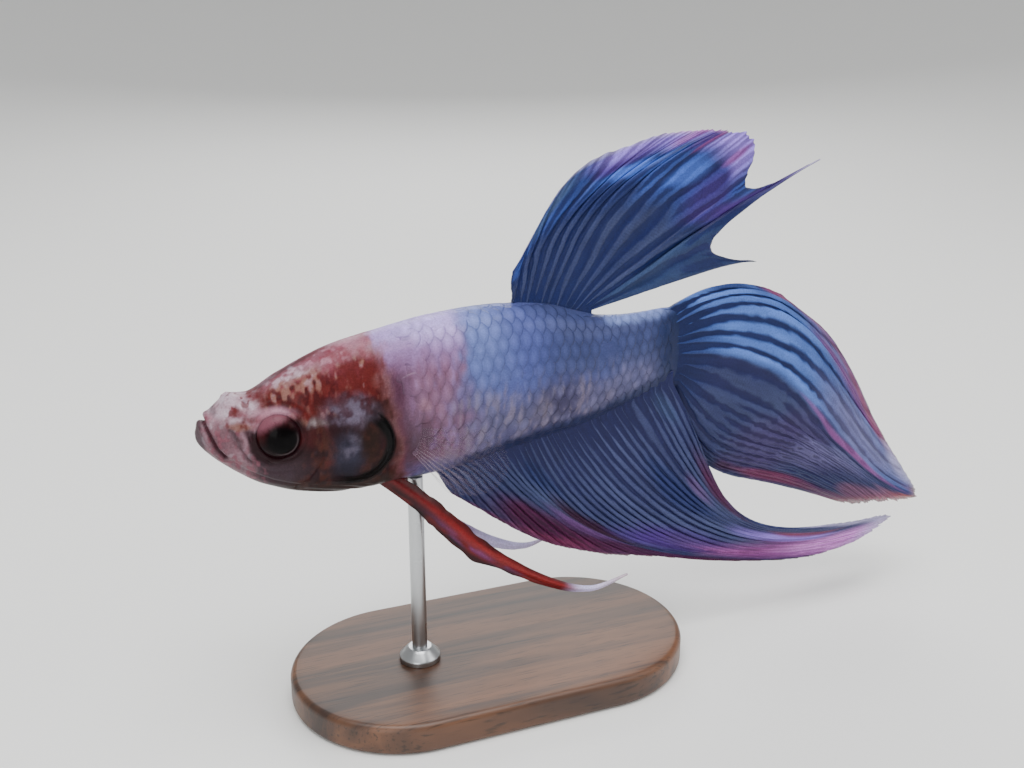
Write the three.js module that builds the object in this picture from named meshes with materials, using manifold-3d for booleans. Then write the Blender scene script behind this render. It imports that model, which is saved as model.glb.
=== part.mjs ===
// A male veiltail betta (Siamese fighting fish), life size: a still display model that swims level
// with its fins spread, held over a plain base by one rod.
//
// Millimetres, +Z up. The fish faces -X and its left side faces -Y. The origin is the middle of the
// base's underside. Inside the fish's own group, x is measured from the snout towards the tail and
// z from a level line through the mouth and the middle of the tail stalk.
import * as THREE from "three";
import { mergeVertices } from "three/addons/utils/BufferGeometryUtils.js";
import Module from "manifold-3d";

const wasm = await Module();
wasm.setup();

const { lerp, clamp, smoothstep, degToRad } = THREE.MathUtils;
const FULL_TURN = 2 * Math.PI;
const LEFT = -1;
const RIGHT = 1;

// ---------------------------------------------------------------------------------------------
// Driving dimensions
// ---------------------------------------------------------------------------------------------

const BODY_LENGTH = 45.4; // snout to the rounded end of the tail stalk
const SNOUT_ROUND = 2.2; // length over which the snout rounds off
const STALK_ROUND = 1.5; // length over which the end of the stalk rounds off
const SEAM = 0.2; // width of the cuts between neighbouring parts
const BODY_RINGS = 32;
const RING_CROWDING = 0.85; // how much closer together the rings are near both ends
const BODY_SIDES = 22;
const ROOM = 30; // more than the fish's depth or width, for the solids that cut it

// The body at each distance from the snout: height of the back and of the belly line, half of the
// width, how full the upper and lower halves of the section are (under 1 is boxy, over 1 is pinched
// to a keel), and how far the widest level is shifted upwards.
const STATIONS = [
  { at: 0.0, back: 0.6, belly: -2.7, half: 1.2, upper: 0.9, lower: 0.9, lift: 0.0 },
  { at: 1.6, back: 1.35, belly: -3.4, half: 1.8, upper: 0.85, lower: 0.9, lift: 0.0 },
  { at: 3.0, back: 2.2, belly: -4.5, half: 2.3, upper: 0.8, lower: 0.9, lift: 0.0 },
  { at: 4.3, back: 2.15, belly: -5.4, half: 2.75, upper: 0.8, lower: 0.9, lift: -0.04 },
  { at: 7.0, back: 3.5, belly: -6.6, half: 3.4, upper: 0.82, lower: 0.88, lift: -0.08 },
  { at: 11.0, back: 5.25, belly: -7.35, half: 4.0, upper: 0.9, lower: 0.86, lift: -0.1 },
  { at: 16.0, back: 6.4, belly: -7.25, half: 4.2, upper: 0.96, lower: 0.92, lift: -0.02 },
  { at: 20.0, back: 7.1, belly: -7.2, half: 4.1, upper: 0.98, lower: 1.05, lift: 0.08 },
  { at: 27.0, back: 7.45, belly: -5.9, half: 3.65, upper: 1.0, lower: 1.2, lift: 0.12 },
  { at: 31.0, back: 6.9, belly: -5.2, half: 3.2, upper: 1.0, lower: 1.2, lift: 0.12 },
  { at: 35.0, back: 5.75, belly: -4.4, half: 2.65, upper: 1.0, lower: 1.2, lift: 0.1 },
  { at: 40.0, back: 5.45, belly: -2.8, half: 1.75, upper: 1.0, lower: 1.1, lift: 0.05 },
  { at: 43.0, back: 5.65, belly: -1.95, half: 1.15, upper: 1.0, lower: 1.0, lift: 0.0 },
  { at: 45.4, back: 5.5, belly: -1.8, half: 0.85, upper: 1.0, lower: 1.0, lift: 0.0 },
];

// The eye is a flattened ball, turned a little forwards because the head narrows.
const EYE = { x: 6.35, out: 2.62, z: -1.0, radius: 1.85, depth: 1.25, turn: 12, around: 18, down: 8 };

// The gill cover is an oval bony plate on each side. It stands a little proud of the body.
const GILL = { x: 12.2, z: -2.4, long: 3.2, tall: 3.3, proud: 0.12, thickness: 1.1, corners: 18 };

// The cuts, as x and z from top to bottom: where the head ends, and where the lower jaw parts
// from the head.
const NAPE_CUT = [[12.9, ROOM], [13.9, 6.0], [14.1, 1.0], [13.6, -4.0], [12.8, -ROOM]];
const JAW_CUT = [
  [-2.5, 1.2],
  [0.5, 0.2],
  [0.95, -0.7],
  [1.9, -2.3],
  [3.6, -3.7],
  [5.8, -5.0],
  [6.9, -8.0],
  [6.9, -ROOM],
];
const STALK_CUT_X = 36.5;

// Each median fin is a fan of rays. share runs from 0 at the leading ray to 1 at the last. A ray
// leaves its root on the body at one angle and arrives at its tip at another (0 is towards the
// tail, 90 is up), along a curve whose handles are reach times its length. The membrane between
// two ray tips is scalloped by a share of the ray's length. A streamer is a ray that outgrows the
// membrane. sway is how far the fin swings to the right at a given ray and share of its length, and
// for each millimetre of that it is also carried a little back and down.
const SWING = { back: 0.4, down: 0.35 };
const FIN_THICKNESS = 0.56;
const FIN_ROOT_THICKNESS = 0.74;
const ROOT_SINK = 0.9; // how deep a fin starts inside the body, before the body is cut from it

const DORSAL = {
  root: [{ share: 0, x: 27.6, z: 7.6 }, { share: 0.5, x: 31.2, z: 6.95 }, { share: 1, x: 35.0, z: 5.95 }],
  tip: [
    { share: 0, x: 28.4, z: 11.8 },
    { share: 0.12, x: 30.9, z: 15.6 },
    { share: 0.28, x: 36.4, z: 19.7 },
    { share: 0.5, x: 44.8, z: 21.6 },
    { share: 0.66, x: 50.8, z: 21.3 },
    { share: 0.75, x: 51.6, z: 19.3 },
    { share: 0.82, x: 50.0, z: 16.1 },
    { share: 0.91, x: 47.6, z: 12.7 },
    { share: 1, x: 46.9, z: 9.3 },
  ],
  leave: [{ share: 0, angle: 93 }, { share: 0.5, angle: 62 }, { share: 1, angle: 16 }],
  arrive: [
    { share: 0, angle: 66 },
    { share: 0.3, angle: 32 },
    { share: 0.7, angle: 20 },
    { share: 1, angle: 18 },
  ],
  reach: [{ share: 0, size: 0.36 }, { share: 1, size: 0.36 }],
  streamers: [
    { share: 0.86, length: 9.6, angle: 22, width: 2.4 },
    { share: 0.98, length: 5.2, angle: -6, width: 1.2 },
  ],
  sway: (share, out) => 0.9 * out * out * Math.sin(FULL_TURN * (0.9 * share + 0.1)) - 0.4 * out,
  columns: 20,
  rows: 8,
  scallop: 0.02,
};

const CAUDAL = {
  root: [{ share: 0, x: 43.0, z: 5.8 }, { share: 0.5, x: 44.7, z: 2.1 }, { share: 1, x: 44.0, z: -2.1 }],
  tip: [
    { share: 0, x: 62.3, z: 1.1 },
    { share: 0.1, x: 65.9, z: -3.1 },
    { share: 0.22, x: 69.2, z: -8.3 },
    { share: 0.36, x: 73.4, z: -14.8 },
    { share: 0.47, x: 76.5, z: -18.7 },
    { share: 0.56, x: 72.8, z: -18.8 },
    { share: 0.7, x: 66.4, z: -17.4 },
    { share: 0.84, x: 58.4, z: -14.7 },
    { share: 1, x: 48.5, z: -11.0 },
  ],
  leave: [{ share: 0, angle: 25 }, { share: 0.5, angle: -14 }, { share: 1, angle: -66 }],
  arrive: [
    { share: 0, angle: -39 },
    { share: 0.2, angle: -43 },
    { share: 0.36, angle: -38 },
    { share: 0.75, angle: -32 },
    { share: 1, angle: -70 },
  ],
  reach: [{ share: 0, size: 0.36 }, { share: 1, size: 0.36 }],
  streamers: [],
  sway: (share, out) => {
    const ripple = 1.2 * out * out * Math.sin(FULL_TURN * (1.15 * share + 0.05));
    const apart = smoothstep(share, 0.6, 1) * (0.42 + 0.4 * smoothstep(out, 0, 0.3));
    return ripple + 1.5 * out * out + apart;
  },
  columns: 22,
  rows: 9,
  scallop: 0.02,
};

const ANAL = {
  root: [
    { share: 0, x: 20.1, z: -6.9 },
    { share: 0.3, x: 27.0, z: -5.7 },
    { share: 0.7, x: 36.4, z: -3.8 },
    { share: 1, x: 42.9, z: -1.8 },
  ],
  tip: [
    { share: 0, x: 22.4, z: -10.5 },
    { share: 0.08, x: 26.2, z: -13.6 },
    { share: 0.17, x: 30.6, z: -16.5 },
    { share: 0.3, x: 38.0, z: -18.9 },
    { share: 0.45, x: 47.0, z: -20.8 },
    { share: 0.6, x: 57.0, z: -22.8 },
    { share: 0.74, x: 66.4, z: -23.4 },
    { share: 0.86, x: 72.3, z: -20.6 },
    { share: 1, x: 66.0, z: -20.2 },
  ],
  leave: [{ share: 0, angle: -48 }, { share: 0.4, angle: -56 }, { share: 1, angle: -64 }],
  arrive: [
    { share: 0, angle: -50 },
    { share: 0.25, angle: -28 },
    { share: 0.6, angle: -15 },
    { share: 0.85, angle: 6 },
    { share: 1, angle: 0 },
  ],
  reach: [{ share: 0, size: 0.36 }, { share: 0.6, size: 0.42 }, { share: 1, size: 0.5 }],
  streamers: [],
  sway: (share, out) => {
    const ripple = 1.1 * out * out * Math.sin(FULL_TURN * (1.2 * share + 0.45));
    return ripple - smoothstep(share, 0.6, 1) * (0.42 + 0.4 * smoothstep(out, 0, 0.3));
  },
  columns: 26,
  rows: 8,
  scallop: 0.02,
};

// A pelvic fin is a long feeler: a strap that follows a curve back and down from the breast. Its
// course is listed as how far back, out and up it is from its root.
const PELVIC = {
  root: { x: 14.2, out: 0.9, z: -5.8 },
  course: [
    [0, 0, 0],
    [4.2, 1.05, -3.5],
    [9.2, 2.2, -8.4],
    [15.4, 3.15, -12.3],
    [19.4, 3.5, -13.5],
    [23.2, 3.6, -12.7],
  ],
  width: [
    { share: 0, size: 1.6 },
    { share: 0.3, size: 2.2 },
    { share: 0.55, size: 1.8 },
    { share: 0.8, size: 1.0 },
    { share: 1, size: 0.5 },
  ],
  pair: [
    { name: "pelvic_fin_left", side: LEFT, along: 1.0, down: 1.0 },
    { name: "pelvic_fin_right", side: RIGHT, along: 0.86, down: 0.94 },
  ],
  columns: 4,
  rows: 18,
};

// A pectoral fin is a small fan on the flank behind the gill cover, folded back along the body.
const PECTORAL = {
  root: [{ share: 0, x: 16.9, z: -1.3 }, { share: 1, x: 17.1, z: -3.7 }],
  length: [{ share: 0, size: 7.6 }, { share: 0.35, size: 8.8 }, { share: 1, size: 5.6 }],
  angle: [{ share: 0, size: -6 }, { share: 1, size: -54 }],
  out: 3.75,
  flare: 0.2,
  thickness: 0.5,
  columns: 8,
  rows: 7,
};

// The display stand: an oval base, and a rod in a collar that reaches up to the breast.
const BASE = { long: 38, deep: 21, thick: 2.8, corner: 10.4, bevel: 0.6, middle: 25.5 };
const ROD = { x: 18.4, radius: 0.7, seat: 1.4, top: -6.2, seam: 0.05, sides: 24 };
const COLLAR = { radius: 1.9, height: 1.3, shoulder: 0.5, neck: 1.25, bevel: 0.25 };
const SWIM_HEIGHT = 28.4; // of the fish's level line over the table

// ---------------------------------------------------------------------------------------------
// Helpers
// ---------------------------------------------------------------------------------------------

// A smooth curve through stops, which are listed by one of their values: the value called what.
function blend(stops, by, place, what) {
  const last = stops.length - 1;
  let i = 0;
  while (i < last - 1 && place > stops[i + 1][by]) i += 1;
  const rise = (k) => (stops[k + 1][what] - stops[k][what]) / (stops[k + 1][by] - stops[k][by]);
  const slope = (k) => {
    if (k === 0) return rise(0);
    if (k === last) return rise(last - 1);
    const before = stops[k][by] - stops[k - 1][by];
    const after = stops[k + 1][by] - stops[k][by];
    return (rise(k) * before + rise(k - 1) * after) / (before + after);
  };
  const span = stops[i + 1][by] - stops[i][by];
  const t = clamp((place - stops[i][by]) / span, 0, 1);
  const ease = t * t * (3 - 2 * t);
  const bend = t * (1 - t) * span * ((1 - t) * slope(i) - t * slope(i + 1));
  return lerp(stops[i][what], stops[i + 1][what], ease) + bend;
}

// A solid from its points and triangles, whichever way round they wind.
function solidFrom(points, triangles) {
  let volume = 0;
  for (const corners of triangles) {
    const [p, q, r] = corners.map((k) => new THREE.Vector3(...points[k]));
    volume += p.dot(q.cross(r));
  }
  const outward = volume > 0 ? triangles : triangles.map(([a, b, c]) => [a, c, b]);
  const vertProperties = new Float32Array(points.flat());
  const triVerts = new Uint32Array(outward.flat());
  return new wasm.Manifold(new wasm.Mesh({ numProp: 3, vertProperties, triVerts }));
}

function solidOf(geometry) {
  geometry.deleteAttribute("normal");
  geometry.deleteAttribute("uv");
  const merged = mergeVertices(geometry);
  const at = merged.getAttribute("position");
  const points = Array.from({ length: at.count }, (_, i) => [at.getX(i), at.getY(i), at.getZ(i)]);
  const triangles = [];
  for (let i = 0; i < merged.index.count; i += 3) {
    const [a, b, c] = merged.index.array.slice(i, i + 3);
    if (a !== b && b !== c && c !== a) triangles.push([a, b, c]);
  }
  return solidFrom(points, triangles);
}

function geometryOf(solid) {
  const { vertProperties, triVerts } = solid.getMesh();
  const geometry = new THREE.BufferGeometry();
  geometry.setAttribute("position", new THREE.BufferAttribute(vertProperties, 3));
  geometry.setIndex(new THREE.BufferAttribute(triVerts, 1));
  geometry.computeVertexNormals();
  return geometry;
}

// A wall across the fish, whose outline is given as x and z.
function wall(outline, from = -ROOM, to = ROOM) {
  const shape = new THREE.Shape(outline.map(([x, z]) => new THREE.Vector2(x, z)));
  const geometry = new THREE.ExtrudeGeometry(shape, { depth: to - from, bevelEnabled: false });
  geometry.rotateX(Math.PI / 2);
  geometry.translate(0, to, 0);
  return solidOf(geometry);
}

// A closed sheet from a grid of middle points, each with its thickness across Y.
function sheet(grid) {
  const columns = grid.length;
  const rows = grid[0].length;
  const points = [];
  for (const side of [LEFT, RIGHT]) {
    for (const p of grid.flat()) points.push([p.x, p.y + (side * p.thick) / 2, p.z]);
  }
  const left = (i, j) => i * rows + j;
  const right = (i, j) => columns * rows + i * rows + j;
  const triangles = [];
  for (let i = 0; i < columns - 1; i += 1) {
    for (let j = 0; j < rows - 1; j += 1) {
      triangles.push([left(i, j), left(i + 1, j), left(i + 1, j + 1)]);
      triangles.push([left(i, j), left(i + 1, j + 1), left(i, j + 1)]);
      triangles.push([right(i, j), right(i + 1, j + 1), right(i + 1, j)]);
      triangles.push([right(i, j), right(i, j + 1), right(i + 1, j + 1)]);
    }
  }
  const rim = [];
  for (let i = 0; i < columns - 1; i += 1) rim.push([i, 0]);
  for (let j = 0; j < rows - 1; j += 1) rim.push([columns - 1, j]);
  for (let i = columns - 1; i > 0; i -= 1) rim.push([i, rows - 1]);
  for (let j = rows - 1; j > 0; j -= 1) rim.push([0, j]);
  rim.forEach(([i, j], k) => {
    const [m, n] = rim[(k + 1) % rim.length];
    triangles.push([left(i, j), right(m, n), left(m, n)]);
    triangles.push([left(i, j), right(i, j), right(m, n)]);
  });
  return solidFrom(points, triangles);
}

// ---------------------------------------------------------------------------------------------
// The body
// ---------------------------------------------------------------------------------------------

function roundOff(distance, length) {
  return distance >= length ? 1 : Math.sqrt(1 - (1 - distance / length) ** 2);
}

// The whole body without fins, swollen or shrunk by grow on every side.
function body(grow = 0) {
  const start = -grow;
  const end = BODY_LENGTH + grow;
  const at = (x, what) => blend(STATIONS, "at", clamp(x, 0, BODY_LENGTH), what);
  const middle = (x) => (at(x, "back") + at(x, "belly")) / 2;
  const points = [[start, 0, middle(start)]];
  for (let i = 1; i < BODY_RINGS; i += 1) {
    const even = i / BODY_RINGS;
    const crowded = 0.5 - 0.5 * Math.cos(Math.PI * even);
    const x = lerp(start, end, lerp(even, crowded, RING_CROWDING));
    const round = roundOff(x - start, SNOUT_ROUND + grow) * roundOff(end - x, STALK_ROUND + grow);
    const tall = (at(x, "back") - middle(x) + grow) * round;
    const wide = (at(x, "half") + grow) * round;
    for (let j = 0; j < BODY_SIDES; j += 1) {
      const turn = (FULL_TURN * j) / BODY_SIDES;
      const across = Math.cos(turn);
      const up = Math.sin(turn);
      const fullness = Math.abs(across) ** at(x, up > 0 ? "upper" : "lower");
      const y = wide * Math.sign(across) * fullness * (1 + at(x, "lift") * up);
      points.push([x, y, middle(x) + tall * up]);
    }
  }
  points.push([end, 0, middle(end)]);
  const ring = (i, j) => 1 + (i - 1) * BODY_SIDES + (j % BODY_SIDES);
  const triangles = [];
  for (let j = 0; j < BODY_SIDES; j += 1) {
    triangles.push([0, ring(1, j), ring(1, j + 1)]);
    for (let i = 1; i < BODY_RINGS - 1; i += 1) {
      triangles.push([ring(i, j), ring(i + 1, j + 1), ring(i, j + 1)]);
      triangles.push([ring(i, j), ring(i + 1, j), ring(i + 1, j + 1)]);
    }
    triangles.push([points.length - 1, ring(BODY_RINGS - 1, j + 1), ring(BODY_RINGS - 1, j)]);
  }
  return solidFrom(points, triangles);
}

// Everything in front of the nape cut, which is moved back by shift.
function beforeNape(shift) {
  const moved = NAPE_CUT.map(([x, z]) => [x + shift, z]);
  return wall([...moved, [-ROOM, -ROOM], [-ROOM, ROOM]]);
}

// Everything below and in front of the jaw cut, which is moved up and back by shift.
function belowJawCut(shift) {
  const moved = JAW_CUT.map(([x, z]) => [x + shift, z + shift]);
  return wall([...moved, [-ROOM, -ROOM], [-ROOM, JAW_CUT[0][1]]]);
}

function behind(x) {
  return wall([[x, -ROOM], [x + ROOM, -ROOM], [x + ROOM, ROOM], [x, ROOM]]);
}

// The poles of the ball face outwards, so that its facets ring the pupil.
function eyeball(side, grow = 0) {
  const geometry = new THREE.SphereGeometry(1, EYE.around, EYE.down);
  geometry.scale(EYE.radius + grow, EYE.depth + grow, EYE.radius + grow);
  geometry.rotateZ(side * degToRad(EYE.turn));
  geometry.translate(EYE.x, side * EYE.out, EYE.z);
  return solidOf(geometry);
}

// The column through one side of the fish that holds its gill cover.
function gillColumn(side, grow = 0) {
  const outline = [];
  for (let i = 0; i < GILL.corners; i += 1) {
    const turn = (FULL_TURN * i) / GILL.corners;
    const x = GILL.x + (GILL.long + grow) * Math.cos(turn);
    outline.push([x, GILL.z + (GILL.tall + grow) * Math.sin(turn)]);
  }
  return side === LEFT ? wall(outline, -ROOM, -1) : wall(outline, 1, ROOM);
}

// ---------------------------------------------------------------------------------------------
// The fins
// ---------------------------------------------------------------------------------------------

function heading(angle) {
  return new THREE.Vector2(Math.cos(degToRad(angle)), Math.sin(degToRad(angle)));
}

// A point of a median fin, drawn flat and then swung sideways.
function swung(flat, y, thick) {
  return { x: flat.x + SWING.back * y, y, z: flat.y - SWING.down * y, thick };
}

// One ray of a median fin: its curve, and the point inside the body where it starts.
function rayOf(fin, share) {
  const stop = (list, what) => blend(list, "share", share, what);
  const root = new THREE.Vector2(stop(fin.root, "x"), stop(fin.root, "z"));
  const tip = new THREE.Vector2(stop(fin.tip, "x"), stop(fin.tip, "z"));
  const handle = root.distanceTo(tip) * stop(fin.reach, "size");
  const leave = heading(stop(fin.leave, "angle"));
  const arrive = heading(stop(fin.arrive, "angle"));
  const first = root.clone().addScaledVector(leave, handle);
  const second = tip.clone().addScaledVector(arrive, -handle);
  const curve = new THREE.CubicBezierCurve(root, first, second, tip);
  return { curve, sunk: root.clone().addScaledVector(leave, -ROOT_SINK) };
}

function streamer(fin, { share, length, angle, width }) {
  const { curve } = rayOf(fin, share);
  const tip = curve.getPoint(1);
  const end = tip.clone().addScaledVector(heading(angle), length);
  const course = new THREE.QuadraticBezierCurve(curve.getPoint(0.85), tip, end);
  const steps = 7;
  const grid = [-0.5, 0, 0.5].map((edge) => {
    const column = [];
    for (let j = 0; j <= steps; j += 1) {
      const along = course.getTangent(j / steps);
      const across = new THREE.Vector2(-along.y, along.x);
      const wide = lerp(width, FIN_THICKNESS, Math.sqrt(j / steps));
      const flat = course.getPoint(j / steps).addScaledVector(across, edge * wide);
      column.push(swung(flat, fin.sway(share, 1), 0.5));
    }
    return column;
  });
  return sheet(grid);
}

function medianFin(fin) {
  const grid = [];
  for (let i = 0; i <= fin.columns; i += 1) {
    const share = i / fin.columns;
    const { curve, sunk } = rayOf(fin, share);
    const full = i % 2 ? 1 - fin.scallop : 1;
    const column = [swung(sunk, fin.sway(share, 0), FIN_ROOT_THICKNESS)];
    for (let j = 0; j <= fin.rows; j += 1) {
      const out = (full * j) / fin.rows;
      const thick = lerp(FIN_ROOT_THICKNESS, FIN_THICKNESS, smoothstep(out, 0, 0.25));
      column.push(swung(curve.getPoint(out), fin.sway(share, out), thick));
    }
    grid.push(column);
  }
  return fin.streamers.reduce((joined, one) => joined.add(streamer(fin, one)), sheet(grid));
}

function pelvicFin({ side, along, down }) {
  const { root, course, width, columns, rows } = PELVIC;
  const stops = course.map(([back, out, up]) => {
    return new THREE.Vector3(root.x + along * back, side * (root.out + out), root.z + down * up);
  });
  const curve = new THREE.CatmullRomCurve3(stops, false, "centripetal");
  const grid = [];
  for (let i = 0; i <= columns; i += 1) {
    const column = [];
    for (let j = 0; j <= rows; j += 1) {
      const share = j / rows;
      const middle = curve.getPoint(share);
      const tangent = curve.getTangent(share);
      const level = new THREE.Vector2(tangent.x, tangent.z).normalize();
      const offset = (i / columns - 0.5) * blend(width, "share", share, "size");
      const x = middle.x - level.y * offset;
      column.push({ x, y: middle.y, z: middle.z + level.x * offset, thick: FIN_THICKNESS });
    }
    grid.push(column);
  }
  return sheet(grid);
}

function pectoralFin(side) {
  const { root, length, angle, out, flare, thickness, columns, rows } = PECTORAL;
  const grid = [];
  for (let i = 0; i <= columns; i += 1) {
    const share = i / columns;
    const along = heading(blend(angle, "share", share, "size"));
    const column = [];
    for (let j = 0; j <= rows; j += 1) {
      const distance = (blend(length, "share", share, "size") * j) / rows;
      const x = blend(root, "share", share, "x") + along.x * distance;
      const z = blend(root, "share", share, "z") + along.y * distance;
      column.push({ x, y: side * (out + flare * distance), z, thick: thickness });
    }
    grid.push(column);
  }
  return sheet(grid);
}

// ---------------------------------------------------------------------------------------------
// The stand, in the fish's own frame
// ---------------------------------------------------------------------------------------------

const BASE_TOP = BASE.thick - SWIM_HEIGHT;

function standing(radius, from, to) {
  const geometry = new THREE.CylinderGeometry(radius, radius, to - from, ROD.sides);
  geometry.rotateX(Math.PI / 2);
  geometry.translate(ROD.x, 0, (from + to) / 2);
  return solidOf(geometry);
}

function standBase() {
  const { long, deep, thick, corner, bevel, middle } = BASE;
  const [x, y] = [long / 2 - corner, deep / 2 - corner];
  const outline = new THREE.Shape();
  outline.absarc(x, y, corner, 0, FULL_TURN / 4);
  outline.absarc(-x, y, corner, FULL_TURN / 4, FULL_TURN / 2);
  outline.absarc(-x, -y, corner, FULL_TURN / 2, (3 * FULL_TURN) / 4);
  outline.absarc(x, -y, corner, (3 * FULL_TURN) / 4, FULL_TURN);
  const geometry = new THREE.ExtrudeGeometry(outline, {
    depth: thick - 2 * bevel,
    bevelThickness: bevel,
    bevelSize: bevel,
    bevelOffset: -bevel,
    bevelSegments: 2,
    curveSegments: 6,
  });
  geometry.translate(middle, 0, bevel - SWIM_HEIGHT);
  const hole = standing(ROD.radius + ROD.seam, BASE_TOP - ROD.seat, BASE_TOP + 1);
  return solidOf(geometry).subtract(hole);
}

function standCollar() {
  const { radius, height, shoulder, neck, bevel } = COLLAR;
  const inner = ROD.radius + ROD.seam;
  const profile = [
    [inner, 0],
    [radius, 0],
    [radius, shoulder],
    [neck, height - bevel],
    [neck - bevel, height],
    [inner, height],
    [inner, 0],
  ];
  const corners = profile.map(([across, up]) => new THREE.Vector2(across, up));
  const geometry = new THREE.LatheGeometry(corners, ROD.sides);
  geometry.rotateX(Math.PI / 2);
  geometry.translate(ROD.x, 0, BASE_TOP);
  return solidOf(geometry);
}

// ---------------------------------------------------------------------------------------------
// The model
// ---------------------------------------------------------------------------------------------

function finish(color, roughness, metalness = 0) {
  return new THREE.MeshStandardMaterial({ color, roughness, metalness });
}

const skin = {
  head: finish("#b98a8a", 0.45),
  gill: finish("#5d6a8e", 0.4),
  trunk: finish("#8a8cc0", 0.4),
  stalk: finish("#6f7aa8", 0.4),
};
const membrane = {
  blue: finish("#3c4a86", 0.45),
  sky: finish("#6f8fd0", 0.45),
  red: finish("#8e2a24", 0.5),
  clear: finish("#a9a2b4", 0.35),
};
const wetBlack = finish("#120c0e", 0.1);
const walnut = finish("#4a2f1f", 0.5);
const steel = finish("#b4b6b8", 0.35, 1);

const fish = new THREE.Group();

function place(name, solid, material) {
  const mesh = new THREE.Mesh(geometryOf(solid), material);
  mesh.name = name;
  fish.add(mesh);
}

const clearance = body(SEAM);
const shell = body(GILL.proud);
const core = body(-GILL.thickness);
const deepCore = body(-GILL.thickness - SEAM);

let flesh = body();
for (const side of [LEFT, RIGHT]) {
  const word = side === LEFT ? "left" : "right";
  const pocket = gillColumn(side, SEAM).subtract(deepCore);
  flesh = flesh.subtract(pocket).subtract(eyeball(side, SEAM));
  place(`eye_${word}`, eyeball(side), wetBlack);
  place(`gill_cover_${word}`, shell.intersect(gillColumn(side)).subtract(core), skin.gill);
  place(`pectoral_fin_${word}`, pectoralFin(side).subtract(clearance), membrane.clear);
}
const front = flesh.intersect(beforeNape(-SEAM / 2));
place("head", front.subtract(belowJawCut(SEAM / 2)), skin.head);
place("lower_jaw", front.intersect(belowJawCut(-SEAM / 2)), skin.head);
place("trunk", flesh.subtract(beforeNape(SEAM / 2)).subtract(behind(STALK_CUT_X - SEAM)), skin.trunk);
place("tail_stalk", flesh.intersect(behind(STALK_CUT_X)), skin.stalk);

place("dorsal_fin", medianFin(DORSAL).subtract(clearance), membrane.blue);
place("caudal_fin", medianFin(CAUDAL).subtract(clearance), membrane.sky);
place("anal_fin", medianFin(ANAL).subtract(clearance), membrane.blue);
for (const one of PELVIC.pair) place(one.name, pelvicFin(one).subtract(clearance), membrane.red);

const rodFoot = BASE_TOP - ROD.seat + ROD.seam;
place("stand_base", standBase(), walnut);
place("stand_collar", standCollar(), steel);
place("stand_rod", standing(ROD.radius, rodFoot, ROD.top).subtract(clearance), steel);

fish.position.set(-BASE.middle, 0, SWIM_HEIGHT);
const model = new THREE.Group();
model.add(fish);

export default model;
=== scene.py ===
"""A male veiltail betta, life size: the looks of a still museum model on its plain stand.

The fish's own frame is in millimetres: x runs from the snout towards the tail, y to its right, and z
up from a level line through the mouth and the middle of the tail stalk. framed() takes points from
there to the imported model's frame in metres.
"""
import functools
import itertools
import math
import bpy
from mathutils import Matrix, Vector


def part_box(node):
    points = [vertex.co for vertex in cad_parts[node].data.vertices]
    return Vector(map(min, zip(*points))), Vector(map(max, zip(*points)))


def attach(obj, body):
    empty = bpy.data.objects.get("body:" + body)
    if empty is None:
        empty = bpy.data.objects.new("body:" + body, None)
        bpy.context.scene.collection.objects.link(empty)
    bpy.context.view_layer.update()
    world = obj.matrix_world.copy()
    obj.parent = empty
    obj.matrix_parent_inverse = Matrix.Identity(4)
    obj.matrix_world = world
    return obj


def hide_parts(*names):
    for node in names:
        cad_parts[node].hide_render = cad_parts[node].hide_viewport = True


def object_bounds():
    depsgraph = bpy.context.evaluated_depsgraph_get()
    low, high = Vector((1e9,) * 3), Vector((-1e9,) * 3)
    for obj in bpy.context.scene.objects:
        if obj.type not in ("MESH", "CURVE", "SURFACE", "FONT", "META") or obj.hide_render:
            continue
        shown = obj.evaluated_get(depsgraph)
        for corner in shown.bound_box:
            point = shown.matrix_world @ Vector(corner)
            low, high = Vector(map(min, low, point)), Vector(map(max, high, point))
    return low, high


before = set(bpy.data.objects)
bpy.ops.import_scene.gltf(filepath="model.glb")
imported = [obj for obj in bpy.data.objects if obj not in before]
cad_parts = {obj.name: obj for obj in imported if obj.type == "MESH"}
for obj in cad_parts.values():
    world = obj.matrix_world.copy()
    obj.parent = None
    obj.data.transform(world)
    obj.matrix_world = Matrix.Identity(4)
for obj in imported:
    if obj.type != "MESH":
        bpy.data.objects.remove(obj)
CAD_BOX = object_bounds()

from types import SimpleNamespace

import bpy
import numpy as np
from bpy.props import FloatProperty, FloatVectorProperty, IntProperty, PointerProperty
from mathutils import Vector

bl_info = {
    "name": "Veiltail betta",
    "version": (1, 0, 0),
    "blender": (4, 5, 0),
    "location": "View3D > Sidebar > Betta",
    "description": "Skin, scales, fins, eyes and stand of a life-size veiltail betta",
    "category": "Object",
}

BODY = "root"
MM = 0.001
FULL_TURN = 2 * math.pi
RIGHT, LEFT = 1, -1
SIDES = (("right", RIGHT), ("left", LEFT))

# ---------------------------------------------------------------------------------------------
# The fish's measures, in millimetres
# ---------------------------------------------------------------------------------------------

BODY_LENGTH = 45.4
SNOUT_ROUND = 2.2
STALK_ROUND = 1.5

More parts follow.
